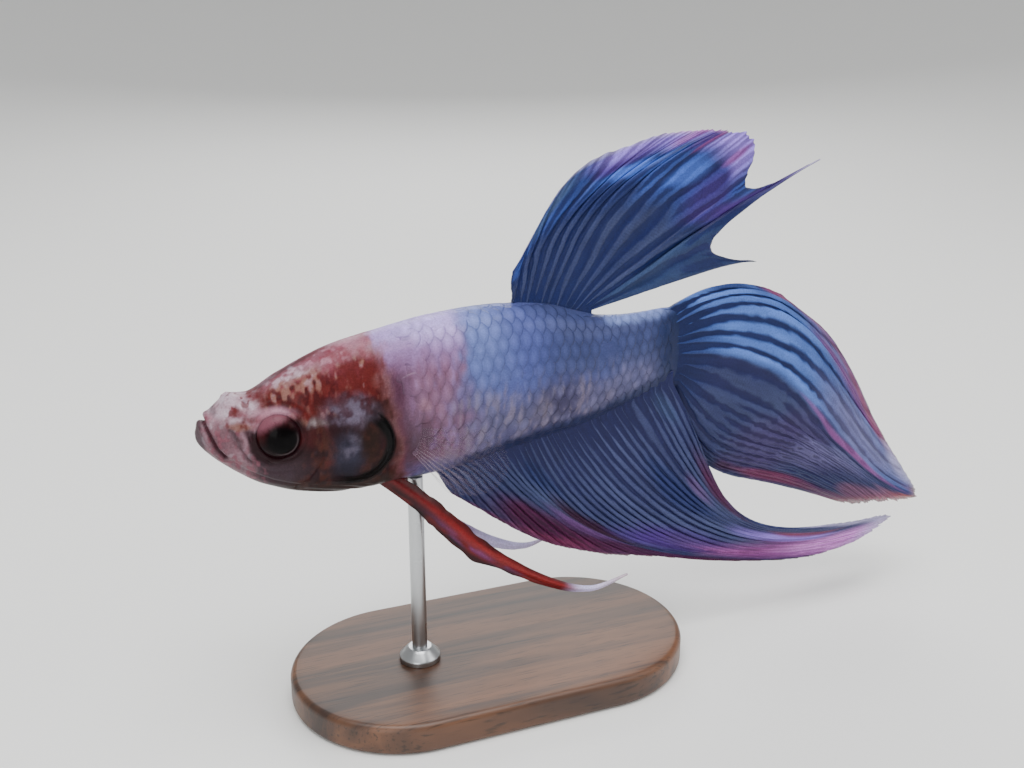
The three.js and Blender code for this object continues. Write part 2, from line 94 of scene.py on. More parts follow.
# Each station of the body: distance from the snout, back, belly, half width, fullness of the upper
# and lower half of the section, and how far the widest level is shifted upwards.
STATIONS = np.array([
    (0.0, 0.6, -2.7, 1.2, 0.9, 0.9, 0.0),
    (1.6, 1.35, -3.4, 1.8, 0.85, 0.9, 0.0),
    (3.0, 2.2, -4.5, 2.3, 0.8, 0.9, 0.0),
    (4.3, 2.15, -5.4, 2.75, 0.8, 0.9, -0.04),
    (7.0, 3.5, -6.6, 3.4, 0.82, 0.88, -0.08),
    (11.0, 5.25, -7.35, 4.0, 0.9, 0.86, -0.1),
    (16.0, 6.4, -7.25, 4.2, 0.96, 0.92, -0.02),
    (20.0, 7.1, -7.2, 4.1, 0.98, 1.05, 0.08),
    (27.0, 7.45, -5.9, 3.65, 1.0, 1.2, 0.12),
    (31.0, 6.9, -5.2, 3.2, 1.0, 1.2, 0.12),
    (35.0, 5.75, -4.4, 2.65, 1.0, 1.2, 0.1),
    (40.0, 5.45, -2.8, 1.75, 1.0, 1.1, 0.05),
    (43.0, 5.65, -1.95, 1.05, 1.0, 1.0, 0.0),
    (45.4, 5.5, -1.8, 0.42, 1.0, 1.0, 0.0),
])

EYE = SimpleNamespace(at=np.array([6.35, 2.62, -1.0]), radius=1.85, depth=1.25, turn=math.radians(12))
GILL = SimpleNamespace(x=12.2, z=-2.4, long=3.2, tall=3.3)

# Lines on the side of the head, as x and z.
MOUTH = ((0.62, 0.75), (0.8, 0.2), (0.98, -0.35), (1.28, -1.1), (1.6, -1.9), (2.15, -2.6))
LIP_FOLD = ((2.7, -0.4), (3.0, -1.3), (3.35, -2.1), (3.9, -3.0))
CHEEK_FOLD = ((4.0, -0.5), (4.25, -1.2), (4.6, -2.1), (5.3, -3.0))
JAW_EDGE = ((2.15, -2.6), (3.7, -3.9), (5.8, -5.0), (8.2, -5.7))
CHEEK_EDGE = ((9.3, 1.0), (9.75, -1.0), (9.7, -3.4), (8.6, -5.2), (7.6, -5.9))

# How far a fin is carried back and down for each millimetre that it swings to the right.
SWING_BACK, SWING_DOWN = 0.4, 0.35

low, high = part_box("eye_right")
ORIGIN = 1000 * np.array((low + high) / 2) - EYE.at


def framed(points):
    """Points of the fish's own frame, in millimetres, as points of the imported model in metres."""
    return (np.asarray(points, float).reshape(-1, 3) + ORIGIN) * MM


# ---------------------------------------------------------------------------------------------
# Numbers
# ---------------------------------------------------------------------------------------------

def linear(code):
    """The linear colour of an sRGB code such as #a1b2c3."""
    parts = (int(code[i:i + 2], 16) / 255 for i in (1, 3, 5))
    return tuple(p / 12.92 if p <= 0.04045 else ((p + 0.055) / 1.055) ** 2.4 for p in parts)


def ease(value, start, end):
    """0 before start, 1 after end, and smooth between them."""
    share = np.clip((value - start) / (end - start), 0, 1)
    return share * share * (3 - 2 * share)


def hill(distance, width):
    """1 at no distance, falling off smoothly over width."""
    return np.exp(-((distance / width) ** 2))


def mix(first, second, share):
    """first where share is 0, second where it is 1, and between them otherwise."""
    return first + (second - first) * share


def blend(places, values, at):
    """A smooth curve through values at places."""
    places, values = np.asarray(places, float), np.asarray(values, float)
    at = np.clip(at, places[0], places[-1])
    span = np.diff(places)
    rise = np.diff(values) / span
    slope = np.concatenate([rise[:1], (rise[1:] * span[:-1] + rise[:-1] * span[1:])
                            / (span[:-1] + span[1:]), rise[-1:]])
    i = np.clip(np.searchsorted(places, at, side="right") - 1, 0, len(span) - 1)
    t = (at - places[i]) / span[i]
    bend = t * (1 - t) * span[i] * ((1 - t) * slope[i] - t * slope[i + 1])
    return mix(values[i], values[i + 1], t * t * (3 - 2 * t)) + bend


def scatter(cells, seed):
    """A number from 0 to 1 for each whole-number cell, the same in every run."""
    mixed = np.sin(cells @ np.array([127.1, 311.7, 74.7]) + 53.3 * seed) * 43758.5453
    return mixed - np.floor(mixed)


def noise(points, size, seed=0, octaves=2):
    """Smooth noise from -1 to 1, with lumps about size millimetres across."""
    total = 0.0
    for octave in range(octaves):
        place = points * 2 ** octave / size
        cell = np.floor(place)
        inside = place - cell
        inside = inside * inside * (3 - 2 * inside)
        value = 0.0
        for corner in itertools.product((0, 1), repeat=3):
            weight = np.prod(np.where(corner, inside, 1 - inside), axis=-1)
            value = value + weight * scatter(cell + corner, seed + 7 * octave)
        total = total + (2 * value - 1) / 2 ** octave
    return total / (2 - 0.5 ** (octaves - 1))


def from_line(x, z, line):
    """How far the points x, z are from a line of straight pieces."""
    nearest = np.full(np.shape(x), 1e9)
    for (ax, az), (bx, bz) in zip(line, line[1:]):
        along = ((x - ax) * (bx - ax) + (z - az) * (bz - az)) / ((bx - ax) ** 2 + (bz - az) ** 2)
        along = np.clip(along, 0, 1)
        nearest = np.minimum(nearest, np.hypot(x - mix(ax, bx, along), z - mix(az, bz, along)))
    return nearest


# ---------------------------------------------------------------------------------------------
# Meshes
# ---------------------------------------------------------------------------------------------

def grid_faces(count, rows, columns, around=False):
    """The quads of count grids of rows x columns points, one after the other."""
    i, j = np.meshgrid(np.arange(rows - 1), np.arange(columns - (0 if around else 1)), indexing="ij")
    after = (j + 1) % columns
    quads = np.stack([i * columns + j, (i + 1) * columns + j, (i + 1) * columns + after,
                      i * columns + after], -1).reshape(-1, 4)
    return (quads[None] + (np.arange(count) * rows * columns)[:, None, None]).reshape(-1, 4)


def rim_faces(count, rows, columns, offset):
    """The quads that close a grid's edge to its twin, whose points come offset later."""
    index = np.arange(rows * columns).reshape(rows, columns)
    loop = np.concatenate([index[:, 0], index[-1, 1:], index[-2::-1, -1], index[0, -2:0:-1]])
    after = np.roll(loop, -1)
    quads = np.stack([loop, after, after + offset, loop + offset], -1)
    return (quads[None] + (np.arange(count) * rows * columns)[:, None, None]).reshape(-1, 4)


def sheet_faces(count, rows, columns, flipped):
    """The faces of count closed sheets: grids of points, their twins behind them, and the rims."""
    cells = count * rows * columns
    quads = grid_faces(count, rows, columns)
    rim = rim_faces(count, rows, columns, cells)
    faces = np.concatenate([quads, quads[:, ::-1] + cells, rim[:, ::-1]])
    return faces[:, ::-1] if flipped else faces


def tube_faces(rings, sides):
    """Three blocks of faces: a ring grid, and the ends that close it on one more point each."""
    ring = np.arange(sides)
    after = (ring + 1) % sides
    last = (rings - 1) * sides
    front = np.stack([np.full(sides, rings * sides), after, ring], -1)
    rear = np.stack([np.full(sides, rings * sides + 1), last + ring, last + after], -1)
    return [grid_faces(1, rings, sides, around=True)[:, ::-1], front, rear]


def listed(blocks):
    """The faces of all blocks in one list."""
    return [row for block in blocks for row in block.tolist()]


def add_piece(name, points, faces, material, nodes, values=None, uv=None, smooth=True):
    """A mesh object from points of the fish's frame, riding on the body for the CAD nodes named.
    smooth is one value for the piece or one for each face."""
    mesh = bpy.data.meshes.new(name)
    mesh.from_pydata(framed(points).tolist(), [], faces)
    for key, data in (values or {}).items():
        data = np.asarray(data, np.float32)
        if data.ndim == 2:
            layer = mesh.attributes.new(key, "FLOAT_COLOR", "POINT")
            layer.data.foreach_set("color", np.column_stack([data, np.ones(len(data))]).ravel())
        else:
            layer = mesh.attributes.new(key, "FLOAT", "POINT")
            layer.data.foreach_set("value", data)
    if uv is not None:
        layer = mesh.uv_layers.new(name="OFBake")
        layer.data.foreach_set("uv", np.asarray(uv, np.float32).ravel())
    mesh.polygons.foreach_set("use_smooth", np.full(len(mesh.polygons), smooth))
    mesh.materials.append(material)
    mesh.update()
    piece = bpy.data.objects.new(name, mesh)
    bpy.context.scene.collection.objects.link(piece)
    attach(piece, BODY)
    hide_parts(*nodes)
    return piece


def add_sheet(name, sides, flipped, material, node, colour, layers, place):
    """A fin of two grids of points, with its colours and layers on both, and a bake map with one
    grid beside the other."""
    columns, rows = colour.shape[:2]
    faces = sheet_faces(1, columns, rows, flipped)
    layers = {"paint": colour.reshape(-1, 3), **{key: layer.ravel() for key, layer in layers.items()}}
    layers = {key: np.concatenate([layer, layer]) for key, layer in layers.items()}
    first = np.stack([0.49 * place[0], place[1]], -1).reshape(-1, 2)
    uv = np.concatenate([first, first + (0.51, 0)])
    points = np.stack(sides).reshape(-1, 3)
    add_piece(name, points, faces.tolist(), material, (node,), layers, uv[faces])


def normals_of(points):
    """The unit normals of a grid of points."""
    across = np.gradient(points, axis=0)
    along = np.gradient(points, axis=1)
    normal = np.cross(across, along)
    return normal / np.maximum(np.linalg.norm(normal, axis=-1, keepdims=True), 1e-12)


# ---------------------------------------------------------------------------------------------
# Materials
# ---------------------------------------------------------------------------------------------

def add_node(tree, kind, settings=None, links=None):
    """A node with its settings, which are its own fields or its inputs, and its links."""
    node = tree.nodes.new(kind)
    for key, value in (settings or {}).items():
        if isinstance(key, str) and hasattr(node, key):
            setattr(node, key, value)
        else:
            node.inputs[key].default_value = value
    for key, socket in (links or {}).items():
        tree.links.new(socket, node.inputs[key])
    return node


def start_material(name, settings):
    """A new material with one Principled shader, and the shader's constant settings."""
    material = bpy.data.materials.new(name)
    material.use_nodes = True
    tree = material.node_tree
    tree.nodes.clear()
    shader = add_node(tree, "ShaderNodeBsdfPrincipled", settings)
    add_node(tree, "ShaderNodeOutputMaterial", None, {"Surface": shader.outputs["BSDF"]})
    place = add_node(tree, "ShaderNodeTexCoord").outputs["Object"]
    return material, tree, shader, place


def grains(tree, place, sizes, settings):
    """A noise pattern whose grains have these sizes in millimetres along x, y and z."""
    spread = add_node(tree, "ShaderNodeMapping", {"Scale": [1 / (size * MM) for size in sizes]},
                      {"Vector": place})
    pattern = add_node(tree, "ShaderNodeTexNoise", {"Scale": 1.0, **settings},
                       {"Vector": spread.outputs["Vector"]})
    return pattern.outputs["Fac"]


def start_living_material(name, settings, grain, dark, light, detail=3.0):
    """A material of the fish: its markings with fine pigment grain, and the metal sheen that lies
    under them."""
    material, tree, shader, place = start_material(name, settings)
    markings = add_node(tree, "ShaderNodeAttribute", {"attribute_name": "paint"})
    pigment = grains(tree, place, (grain, grain, grain), {"Detail": detail, "Roughness": 0.6})
    tone = add_node(tree, "ShaderNodeMapRange",
                    {"From Min": 0.3, "From Max": 0.7, "To Min": dark, "To Max": light},
                    {"Value": pigment})
    colour = add_node(tree, "ShaderNodeVectorMath", {"operation": "SCALE"},
                      {0: markings.outputs["Color"], "Scale": tone.outputs["Result"]})
    sheen = add_node(tree, "ShaderNodeAttribute", {"attribute_name": "sheen"})
    tree.links.new(colour.outputs["Vector"], shader.inputs["Base Color"])
    tree.links.new(sheen.outputs["Fac"], shader.inputs["Metallic"])
    return material, tree, shader, place


def skin_material():
    """Living skin under slime: soft and a little see-through, with a wet film that gives small
    bright glints, fine pigment grain, and a dull metal sheen where the guanine crystals lie."""
    material, tree, shader, place = start_living_material("betta_skin_wet", {
        "Roughness": 0.46, "IOR": 1.36, "Specular IOR Level": 0.12,
        "Coat Weight": 0.1, "Coat Roughness": 0.1,
        "Subsurface Weight": 0.08, "Subsurface Radius": (0.8 * MM, 0.35 * MM, 0.25 * MM),
        "Subsurface Scale": 1.0,
    }, 0.16, 0.8, 1.16)
    # Goose-flesh grain of 0.12 mm, as on a fish's bare skin.
    grain = grains(tree, place, (0.12, 0.12, 0.12), {"Detail": 4.0})
    bump = add_node(tree, "ShaderNodeBump", {"Strength": 0.35, "Distance": 0.03 * MM}, {"Height": grain})
    tree.links.new(bump.outputs["Normal"], shader.inputs["Normal"])
    return material


def scale_material():
    """Bony scales under slime: each is a thin hard plate, glossier than skin, with growth rings
    that catch the light, and the blue sheen of the crystals below."""
    material, tree, shader, _ = start_living_material("betta_scale_wet", {
        "Roughness": 0.42, "IOR": 1.38, "Specular IOR Level": 0.15,
        "Coat Weight": 0.12, "Coat Roughness": 0.12,
        "Subsurface Weight": 0.05, "Subsurface Radius": (0.5 * MM, 0.3 * MM, 0.3 * MM),
        "Subsurface Scale": 1.0,
    }, 0.14, 0.84, 1.14)
    # Growth rings are 0.03 mm apart on the real scale. They are drawn 0.1 mm apart, so that they show.
    ring = add_node(tree, "ShaderNodeAttribute", {"attribute_name": "ring"})
    rings = add_node(tree, "ShaderNodeMath", {"operation": "MULTIPLY", 1: FULL_TURN / 0.1},
                     {0: ring.outputs["Fac"]})
    wave = add_node(tree, "ShaderNodeMath", {"operation": "SINE"}, {0: rings.outputs["Value"]})
    bump = add_node(tree, "ShaderNodeBump", {"Strength": 0.25, "Distance": 0.012 * MM},
                    {"Height": wave.outputs["Value"]})
    tree.links.new(bump.outputs["Normal"], shader.inputs["Normal"])
    return material


def fin_material(name, roughness, sheen_of_film):
    """Fin membrane stretched over bony rays: thin, smooth and wet, with jointed rays that stand
    proud, crystal grains strewn along them, and margins that let the background through."""
    material, tree, shader, _ = start_living_material(name, {
        "Roughness": roughness, "IOR": 1.37, "Specular IOR Level": 0.15,
        "Coat Weight": sheen_of_film, "Coat Roughness": 0.2,
        "Subsurface Weight": 0.06, "Subsurface Radius": (0.5 * MM, 0.4 * MM, 0.5 * MM),
        "Subsurface Scale": 1.0,
    }, 0.13, 0.78, 1.22, 4.0)
    solid, reach, ray = (add_node(tree, "ShaderNodeAttribute", {"attribute_name": key})
                         for key in ("solid", "reach", "ray"))
    tree.links.new(solid.outputs["Fac"], shader.inputs["Alpha"])
    # The joints of a ray are about 0.35 mm apart.
    joints = add_node(tree, "ShaderNodeMath", {"operation": "MULTIPLY", 1: FULL_TURN / 0.35},
                      {0: reach.outputs["Fac"]})
    wave = add_node(tree, "ShaderNodeMath", {"operation": "SINE"}, {0: joints.outputs["Value"]})
    on_ray = add_node(tree, "ShaderNodeMath", {"operation": "MULTIPLY"},
                      {0: wave.outputs["Value"], 1: ray.outputs["Fac"]})
    bump = add_node(tree, "ShaderNodeBump", {"Strength": 0.3, "Distance": 0.02 * MM},
                    {"Height": on_ray.outputs["Value"]})
    tree.links.new(bump.outputs["Normal"], shader.inputs["Normal"])
    return material


def eye_material():
    """A wet eyeball: the cornea is polished and always glints, over a black pupil and a dark red
    iris with fine spokes."""
    return start_living_material("betta_eye_cornea_over_iris", {
        "Roughness": 0.35, "IOR": 1.36, "Specular IOR Level": 0.05,
        "Coat Weight": 0.12, "Coat Roughness": 0.04, "Coat IOR": 1.34,
    }, 0.07, 0.8, 1.2)[0]


def walnut_material(colours):
    """Walnut, planed along the grain and rubbed with oil: dark streaks run lengthways, the pores are
    short darker dashes, and the oil leaves a soft low gloss."""
    material, tree, shader, place = start_material("walnut_oiled", {
        "Roughness": 0.46, "IOR": 1.5, "Coat Weight": 0.12, "Coat Roughness": 0.35,
    })
    # Growth bands about 2 mm wide and 40 mm long, pores 0.15 mm wide and 2.5 mm long.
    bands = grains(tree, place, (40, 2.2, 4), {"Detail": 4.0, "Distortion": 0.8})
    share = add_node(tree, "ShaderNodeMapRange", {"From Min": 0.35, "From Max": 0.66}, {"Value": bands})
    wood = add_node(tree, "ShaderNodeMix", {"data_type": "RGBA", "A": (*colours.walnut_dark, 1),
                                            "B": (*colours.walnut_light, 1)},
                    {"Factor": share.outputs["Result"]})
    pore = add_node(tree, "ShaderNodeMapRange",
                    {"From Min": 0.56, "From Max": 0.68, "To Min": 1.0, "To Max": 0.45},
                    {"Value": grains(tree, place, (2.5, 0.15, 0.3), {"Detail": 2.0})})
    colour = add_node(tree, "ShaderNodeVectorMath", {"operation": "SCALE"},
                      {0: wood.outputs["Result"], "Scale": pore.outputs["Result"]})
    tree.links.new(colour.outputs["Vector"], shader.inputs["Base Color"])
    bump = add_node(tree, "ShaderNodeBump", {"Strength": 0.25, "Distance": 0.03 * MM},
                    {"Height": pore.outputs["Result"]})
    tree.links.new(bump.outputs["Normal"], shader.inputs["Normal"])
    return material


def steel_material(colours):
    """Stainless steel, turned and then satin polished: fine rings round the rod spread its
    highlights into soft bands."""
    material, tree, shader, place = start_material("stainless_steel_satin", {
        "Base Color": (*colours.steel, 1), "Metallic": 1.0,
    })
    # Turning rings are 0.05 mm apart. They are drawn 0.15 mm apart, so that they show.
    rings = grains(tree, place, (4, 4, 0.15), {"Detail": 2.0})
    polish = add_node(tree, "ShaderNodeMapRange", {"To Min": 0.22, "To Max": 0.4}, {"Value": rings})
    tree.links.new(polish.outputs["Result"], shader.inputs["Roughness"])
    bump = add_node(tree, "ShaderNodeBump", {"Strength": 0.15, "Distance": 0.01 * MM}, {"Height": rings})
    tree.links.new(bump.outputs["Normal"], shader.inputs["Normal"])
    return material


def floor_material(colours):
    """Matt painted board: pale and plain, with the faintest roller texture."""
    material, tree, shader, place = start_material("board_matt_paint", {
        "Base Color": (*colours.floor, 1), "Roughness": 0.8, "IOR": 1.45,
    })
    grain = grains(tree, place, (1.2, 1.2, 1.2), {"Detail": 3.0})
    bump = add_node(tree, "ShaderNodeBump", {"Strength": 0.05, "Distance": 0.05 * MM}, {"Height": grain})
    tree.links.new(bump.outputs["Normal"], shader.inputs["Normal"])
    return material


# ---------------------------------------------------------------------------------------------
# The shape of the skin
# ---------------------------------------------------------------------------------------------

def rounded(distance, length):
    return np.sqrt(np.clip(1 - np.clip(1 - distance / length, 0, 1) ** 2, 0, 1))


def body_points(x, turn, grow):
    """The plain body at x and at an angle round it, where 0 is the right side and a quarter turn
    the back, swollen by grow."""
    at = [blend(STATIONS[:, 0], STATIONS[:, k], x) for k in range(STATIONS.shape[1])]
    round_off = rounded(x + grow, SNOUT_ROUND + grow) * rounded(BODY_LENGTH + grow - x, STALK_ROUND + grow)
    middle = (at[1] + at[2]) / 2
    tall = (at[1] - middle + grow) * round_off
    # The stalk narrows to a wedge, so that it runs into the tail fin without a step.
    wide = (at[3] + grow) * round_off * (1 - 0.7 * ease(x, 42.4, BODY_LENGTH - 0.6))
    across, up = np.cos(turn), np.sin(turn)
    fullness = np.where(up > 0, at[4], at[5])
    y = wide * np.sign(across) * np.abs(across) ** fullness * (1 + at[6] * up)
    return np.stack(np.broadcast_arrays(x, y, middle + tall * up), -1)


def eye_distance(points):
    """How far points are from the axis of the eye on their side."""
    mirrored = np.stack([points[..., 0], np.abs(points[..., 1]), points[..., 2]], -1)
    axis = np.array([-math.sin(EYE.turn), math.cos(EYE.turn), 0])
    reach = mirrored - EYE.at
    return np.linalg.norm(reach - (reach @ axis)[..., None] * axis, axis=-1)


def gill_radius(x, z):
    return np.hypot((x - GILL.x) / GILL.long, (z - GILL.z) / GILL.tall)


def gill_free_edge(x, z):
    """1 along the rear and lower edge of the gill cover, where it is free, and 0 along its front."""
    angle = np.arctan2(z - GILL.z, x - GILL.x)
    return ease(np.cos(angle + 0.45), -0.15, 0.4)


def relief(points):
    """How far the skin stands out from the plain body, in millimetres."""
    x, y, z = np.abs(points[..., 0]), np.abs(points[..., 1]), points[..., 2]
    out = np.zeros(x.shape)
    # The mouth, with its lips, and the folds behind it.
    mouth = from_line(x, z, MOUTH)
    lips = 1 - ease(x, 2.0, 3.2)
    out += -0.36 * hill(mouth, 0.13) + 0.14 * lips * hill(mouth - 0.38, 0.24)
    out += -0.16 * hill(from_line(x, z, LIP_FOLD), 0.16) - 0.14 * hill(from_line(x, z, CHEEK_FOLD), 0.17)
    out += 0.12 * hill(np.hypot((x - 3.75) / 0.35, (z + 1.3) / 1.1), 1.0)
    out += -0.1 * hill(from_line(x, z, JAW_EDGE), 0.16)
    out += -0.13 * hill(from_line(x, z, CHEEK_EDGE), 0.17)
    out += 0.05 * hill(from_line(x - 0.5, z, CHEEK_EDGE), 0.3)
    # The nostrils: a short tube in front and a pit behind, on each side of the snout's top.
    top = ease(z, 0.4, 1.0)
    tube = np.hypot(x - 2.75, y - 0.8)
    pit = np.hypot(x - 4.1, y - 1.25)
    out += top * (0.26 * hill(tube, 0.3) - 0.3 * hill(tube, 0.11))
    out += top * (0.06 * hill(pit - 0.26, 0.12) - 0.22 * hill(pit, 0.17))
    # The eye's socket, its rim, and the ring of small bones round it.
    eye = eye_distance(points)
    out += -1.1 * (1 - ease(eye, 1.5, 1.72)) + 0.15 * hill(eye - 1.95, 0.17)
    out += -0.07 * hill(eye - 2.3, 0.14) - 0.05 * hill(eye - 3.0, 0.16)
    # The gill cover: a plate that rises to a free edge, a soft black flap beyond it, and the slit.
    gill, free = gill_radius(x, z), gill_free_edge(x, z)
    plate = free * ease(x, 9.8, 13.6)
    out += 0.2 * plate * (1 - ease(gill, 0.98, 1.03)) - 0.1 * free * ease(gill, 0.83, 0.87) * (gill < 1.03)
    out += -0.28 * free * hill(gill - 1.045, 0.028)
    out += 0.08 * np.clip(1 - gill ** 2, 0, 1)
    # The throat's fine bony rays below the gill cover.
    throat = ease(-z, 5.0, 5.8) * ease(x, 6.5, 8.5) * (1 - ease(x, 13.0, 14.5))
    out += 0.035 * throat * np.sin(FULL_TURN * (z + 0.25 * x) / 0.55)
    # The fleshy roots of the paired fins.
    out += 0.42 * hill(np.hypot((x - 16.8) / 0.85, (z + 2.5) / 1.5), 1.0)
    out += 0.2 * hill(np.hypot((x - 14.2) / 1.3, (z + 6.1) / 0.9), 1.0)
    # The sheaths of the median fins, and the small muscles that move the anal fin's rays.
    back = ease(z, 2.5, 4.0)
    dorsal = ease(x, 27.0, 28.2) * (1 - ease(x, 34.6, 36.0)) * back
    anal = ease(x, 19.4, 21.0) * (1 - ease(x, 42.0, 43.6)) * (1 - back)
    out += 0.22 * hill(y, 0.5) * (dorsal + anal)
    belly = blend(STATIONS[:, 0], STATIONS[:, 2], x)
    near_base = anal * (1 - ease(z - belly, 1.0, 2.2))
    out += 0.05 * near_base * np.sin(FULL_TURN * (x + 0.35 * z))
    # Soft unevenness of the flesh, everywhere.
    return out + 0.05 * noise(points, 2.4, 3)


# More than half the way round the body at its stoutest.
HALF_GIRTH = 16


@functools.lru_cache(maxsize=2)
def skin_surface(depth, rings, sides):
    """The skin as a grid of points, depth inside the coat, with tables to find a place on it."""
    # Rings lie closest over the head and at both ends, where the skin bends most.
    even = np.linspace(0, BODY_LENGTH, 4001)
    crowding = 1 + 1.7 * (1 - ease(even, 11, 20))
    crowding += 0.9 / np.sqrt(even + 0.03) + 0.9 / np.sqrt(BODY_LENGTH - even + 0.03)
    total = np.concatenate([[0], np.cumsum((crowding[1:] + crowding[:-1]) / 2)])
    x = np.interp(np.linspace(0, total[-1], rings + 2)[1:-1], total, even)
    x = depth + x * (BODY_LENGTH - 2 * depth) / BODY_LENGTH
    turn = FULL_TURN * np.arange(sides) / sides - math.pi
    plain = body_points(x[:, None], turn[None, :], -depth)
    closed = np.concatenate([plain[:, -1:], plain, plain[:, :1]], 1)
    normal = -normals_of(closed)[:, 1:-1]
    points = plain + normal * relief(plain)[..., None]
    closed = np.concatenate([points[:, -1:], points, points[:, :1]], 1)
    normal = -normals_of(closed)[:, 1:-1]
    # The turn at each arc length from the right side's middle line, positive towards the back.
    zero = sides // 2
    loop = np.concatenate([plain, plain[:, :1]], 1)
    steps = np.linalg.norm(np.diff(loop, axis=1), axis=-1)
    arcs = np.concatenate([np.zeros((len(x), 1)), np.cumsum(steps, 1)], 1)
    arcs -= arcs[:, zero:zero + 1]
    lengths = np.linspace(-HALF_GIRTH, HALF_GIRTH, 641)
    indices = np.stack([np.interp(lengths, row, np.arange(sides + 1)) for row in arcs])
    return SimpleNamespace(x=x, turn=turn, points=points, normal=normal, sides=sides, zero=zero,
                           arcs=arcs, lengths=lengths, indices=indices)


def lookup(table, i, j, around):
    """table at fractional places i and j, where j may run on past the end of a closed ring."""
    i = np.clip(i, 0, table.shape[0] - 1.001)
    i0 = np.floor(i).astype(int)
    j0 = np.floor(j).astype(int)
    j0 = j0 if around else np.clip(j0, 0, table.shape[1] - 2)
    fi, fj = i - i0, j - j0
    if table.ndim == 3:
        fi, fj = fi[..., None], fj[..., None]
    n = table.shape[1]
    first = mix(table[i0, j0 % n], table[i0, (j0 + 1) % n], fj)
    second = mix(table[i0 + 1, j0 % n], table[i0 + 1, (j0 + 1) % n], fj)
    return mix(first, second, fi)


def on_skin(surface, x, arc):
    """The points and normals of the skin's right side at x and at an arc length from its middle
    line, and their place on the skin's unwrap."""
    i = np.interp(x, surface.x, np.arange(len(surface.x)))
    step = surface.lengths[1] - surface.lengths[0]
    j = lookup(surface.indices, i, (arc - surface.lengths[0]) / step, False)
    normal = lookup(surface.normal, i, j, True)
    normal /= np.linalg.norm(normal, axis=-1, keepdims=True)
    return lookup(surface.points, i, j, True), normal, i / len(surface.x), j / surface.sides


# ---------------------------------------------------------------------------------------------
# Markings
# ---------------------------------------------------------------------------------------------

class Paint:
    """Colours laid over points of the fish one after the other, each with a share from 0 to 1."""

    def __init__(self, points, base):
        self.points = points
        self.colour = np.tile(np.array(base, float), (len(points), 1))
        x, y, z = points.T
        side = np.where(y > 0, 5, 0)
        drift = np.stack([noise(points + 31.0 * k + side[:, None], 1.3, k, 3) for k in (1, 2)])
        self.x, self.y, self.z = x, np.abs(y), z
        self.wx, self.wz = x + 0.5 * drift[0], z + 0.5 * drift[1]

    def lay(self, colour, share):
        self.colour += (np.array(colour) - self.colour) * np.clip(share, 0, 1)[:, None]

    def spot(self, x, z, long, tall, soft=0.5, tilt=0.0):
        """A soft ragged oval on the flank, long and tall being its half sizes."""
        dx, dz = self.wx - x, self.wz - z
        turn = math.radians(tilt)
        u = (dx * math.cos(turn) + dz * math.sin(turn)) / long
        v = (dz * math.cos(turn) - dx * math.sin(turn)) / tall
        return 1 - ease(np.hypot(u, v), 1 - soft, 1 + soft)


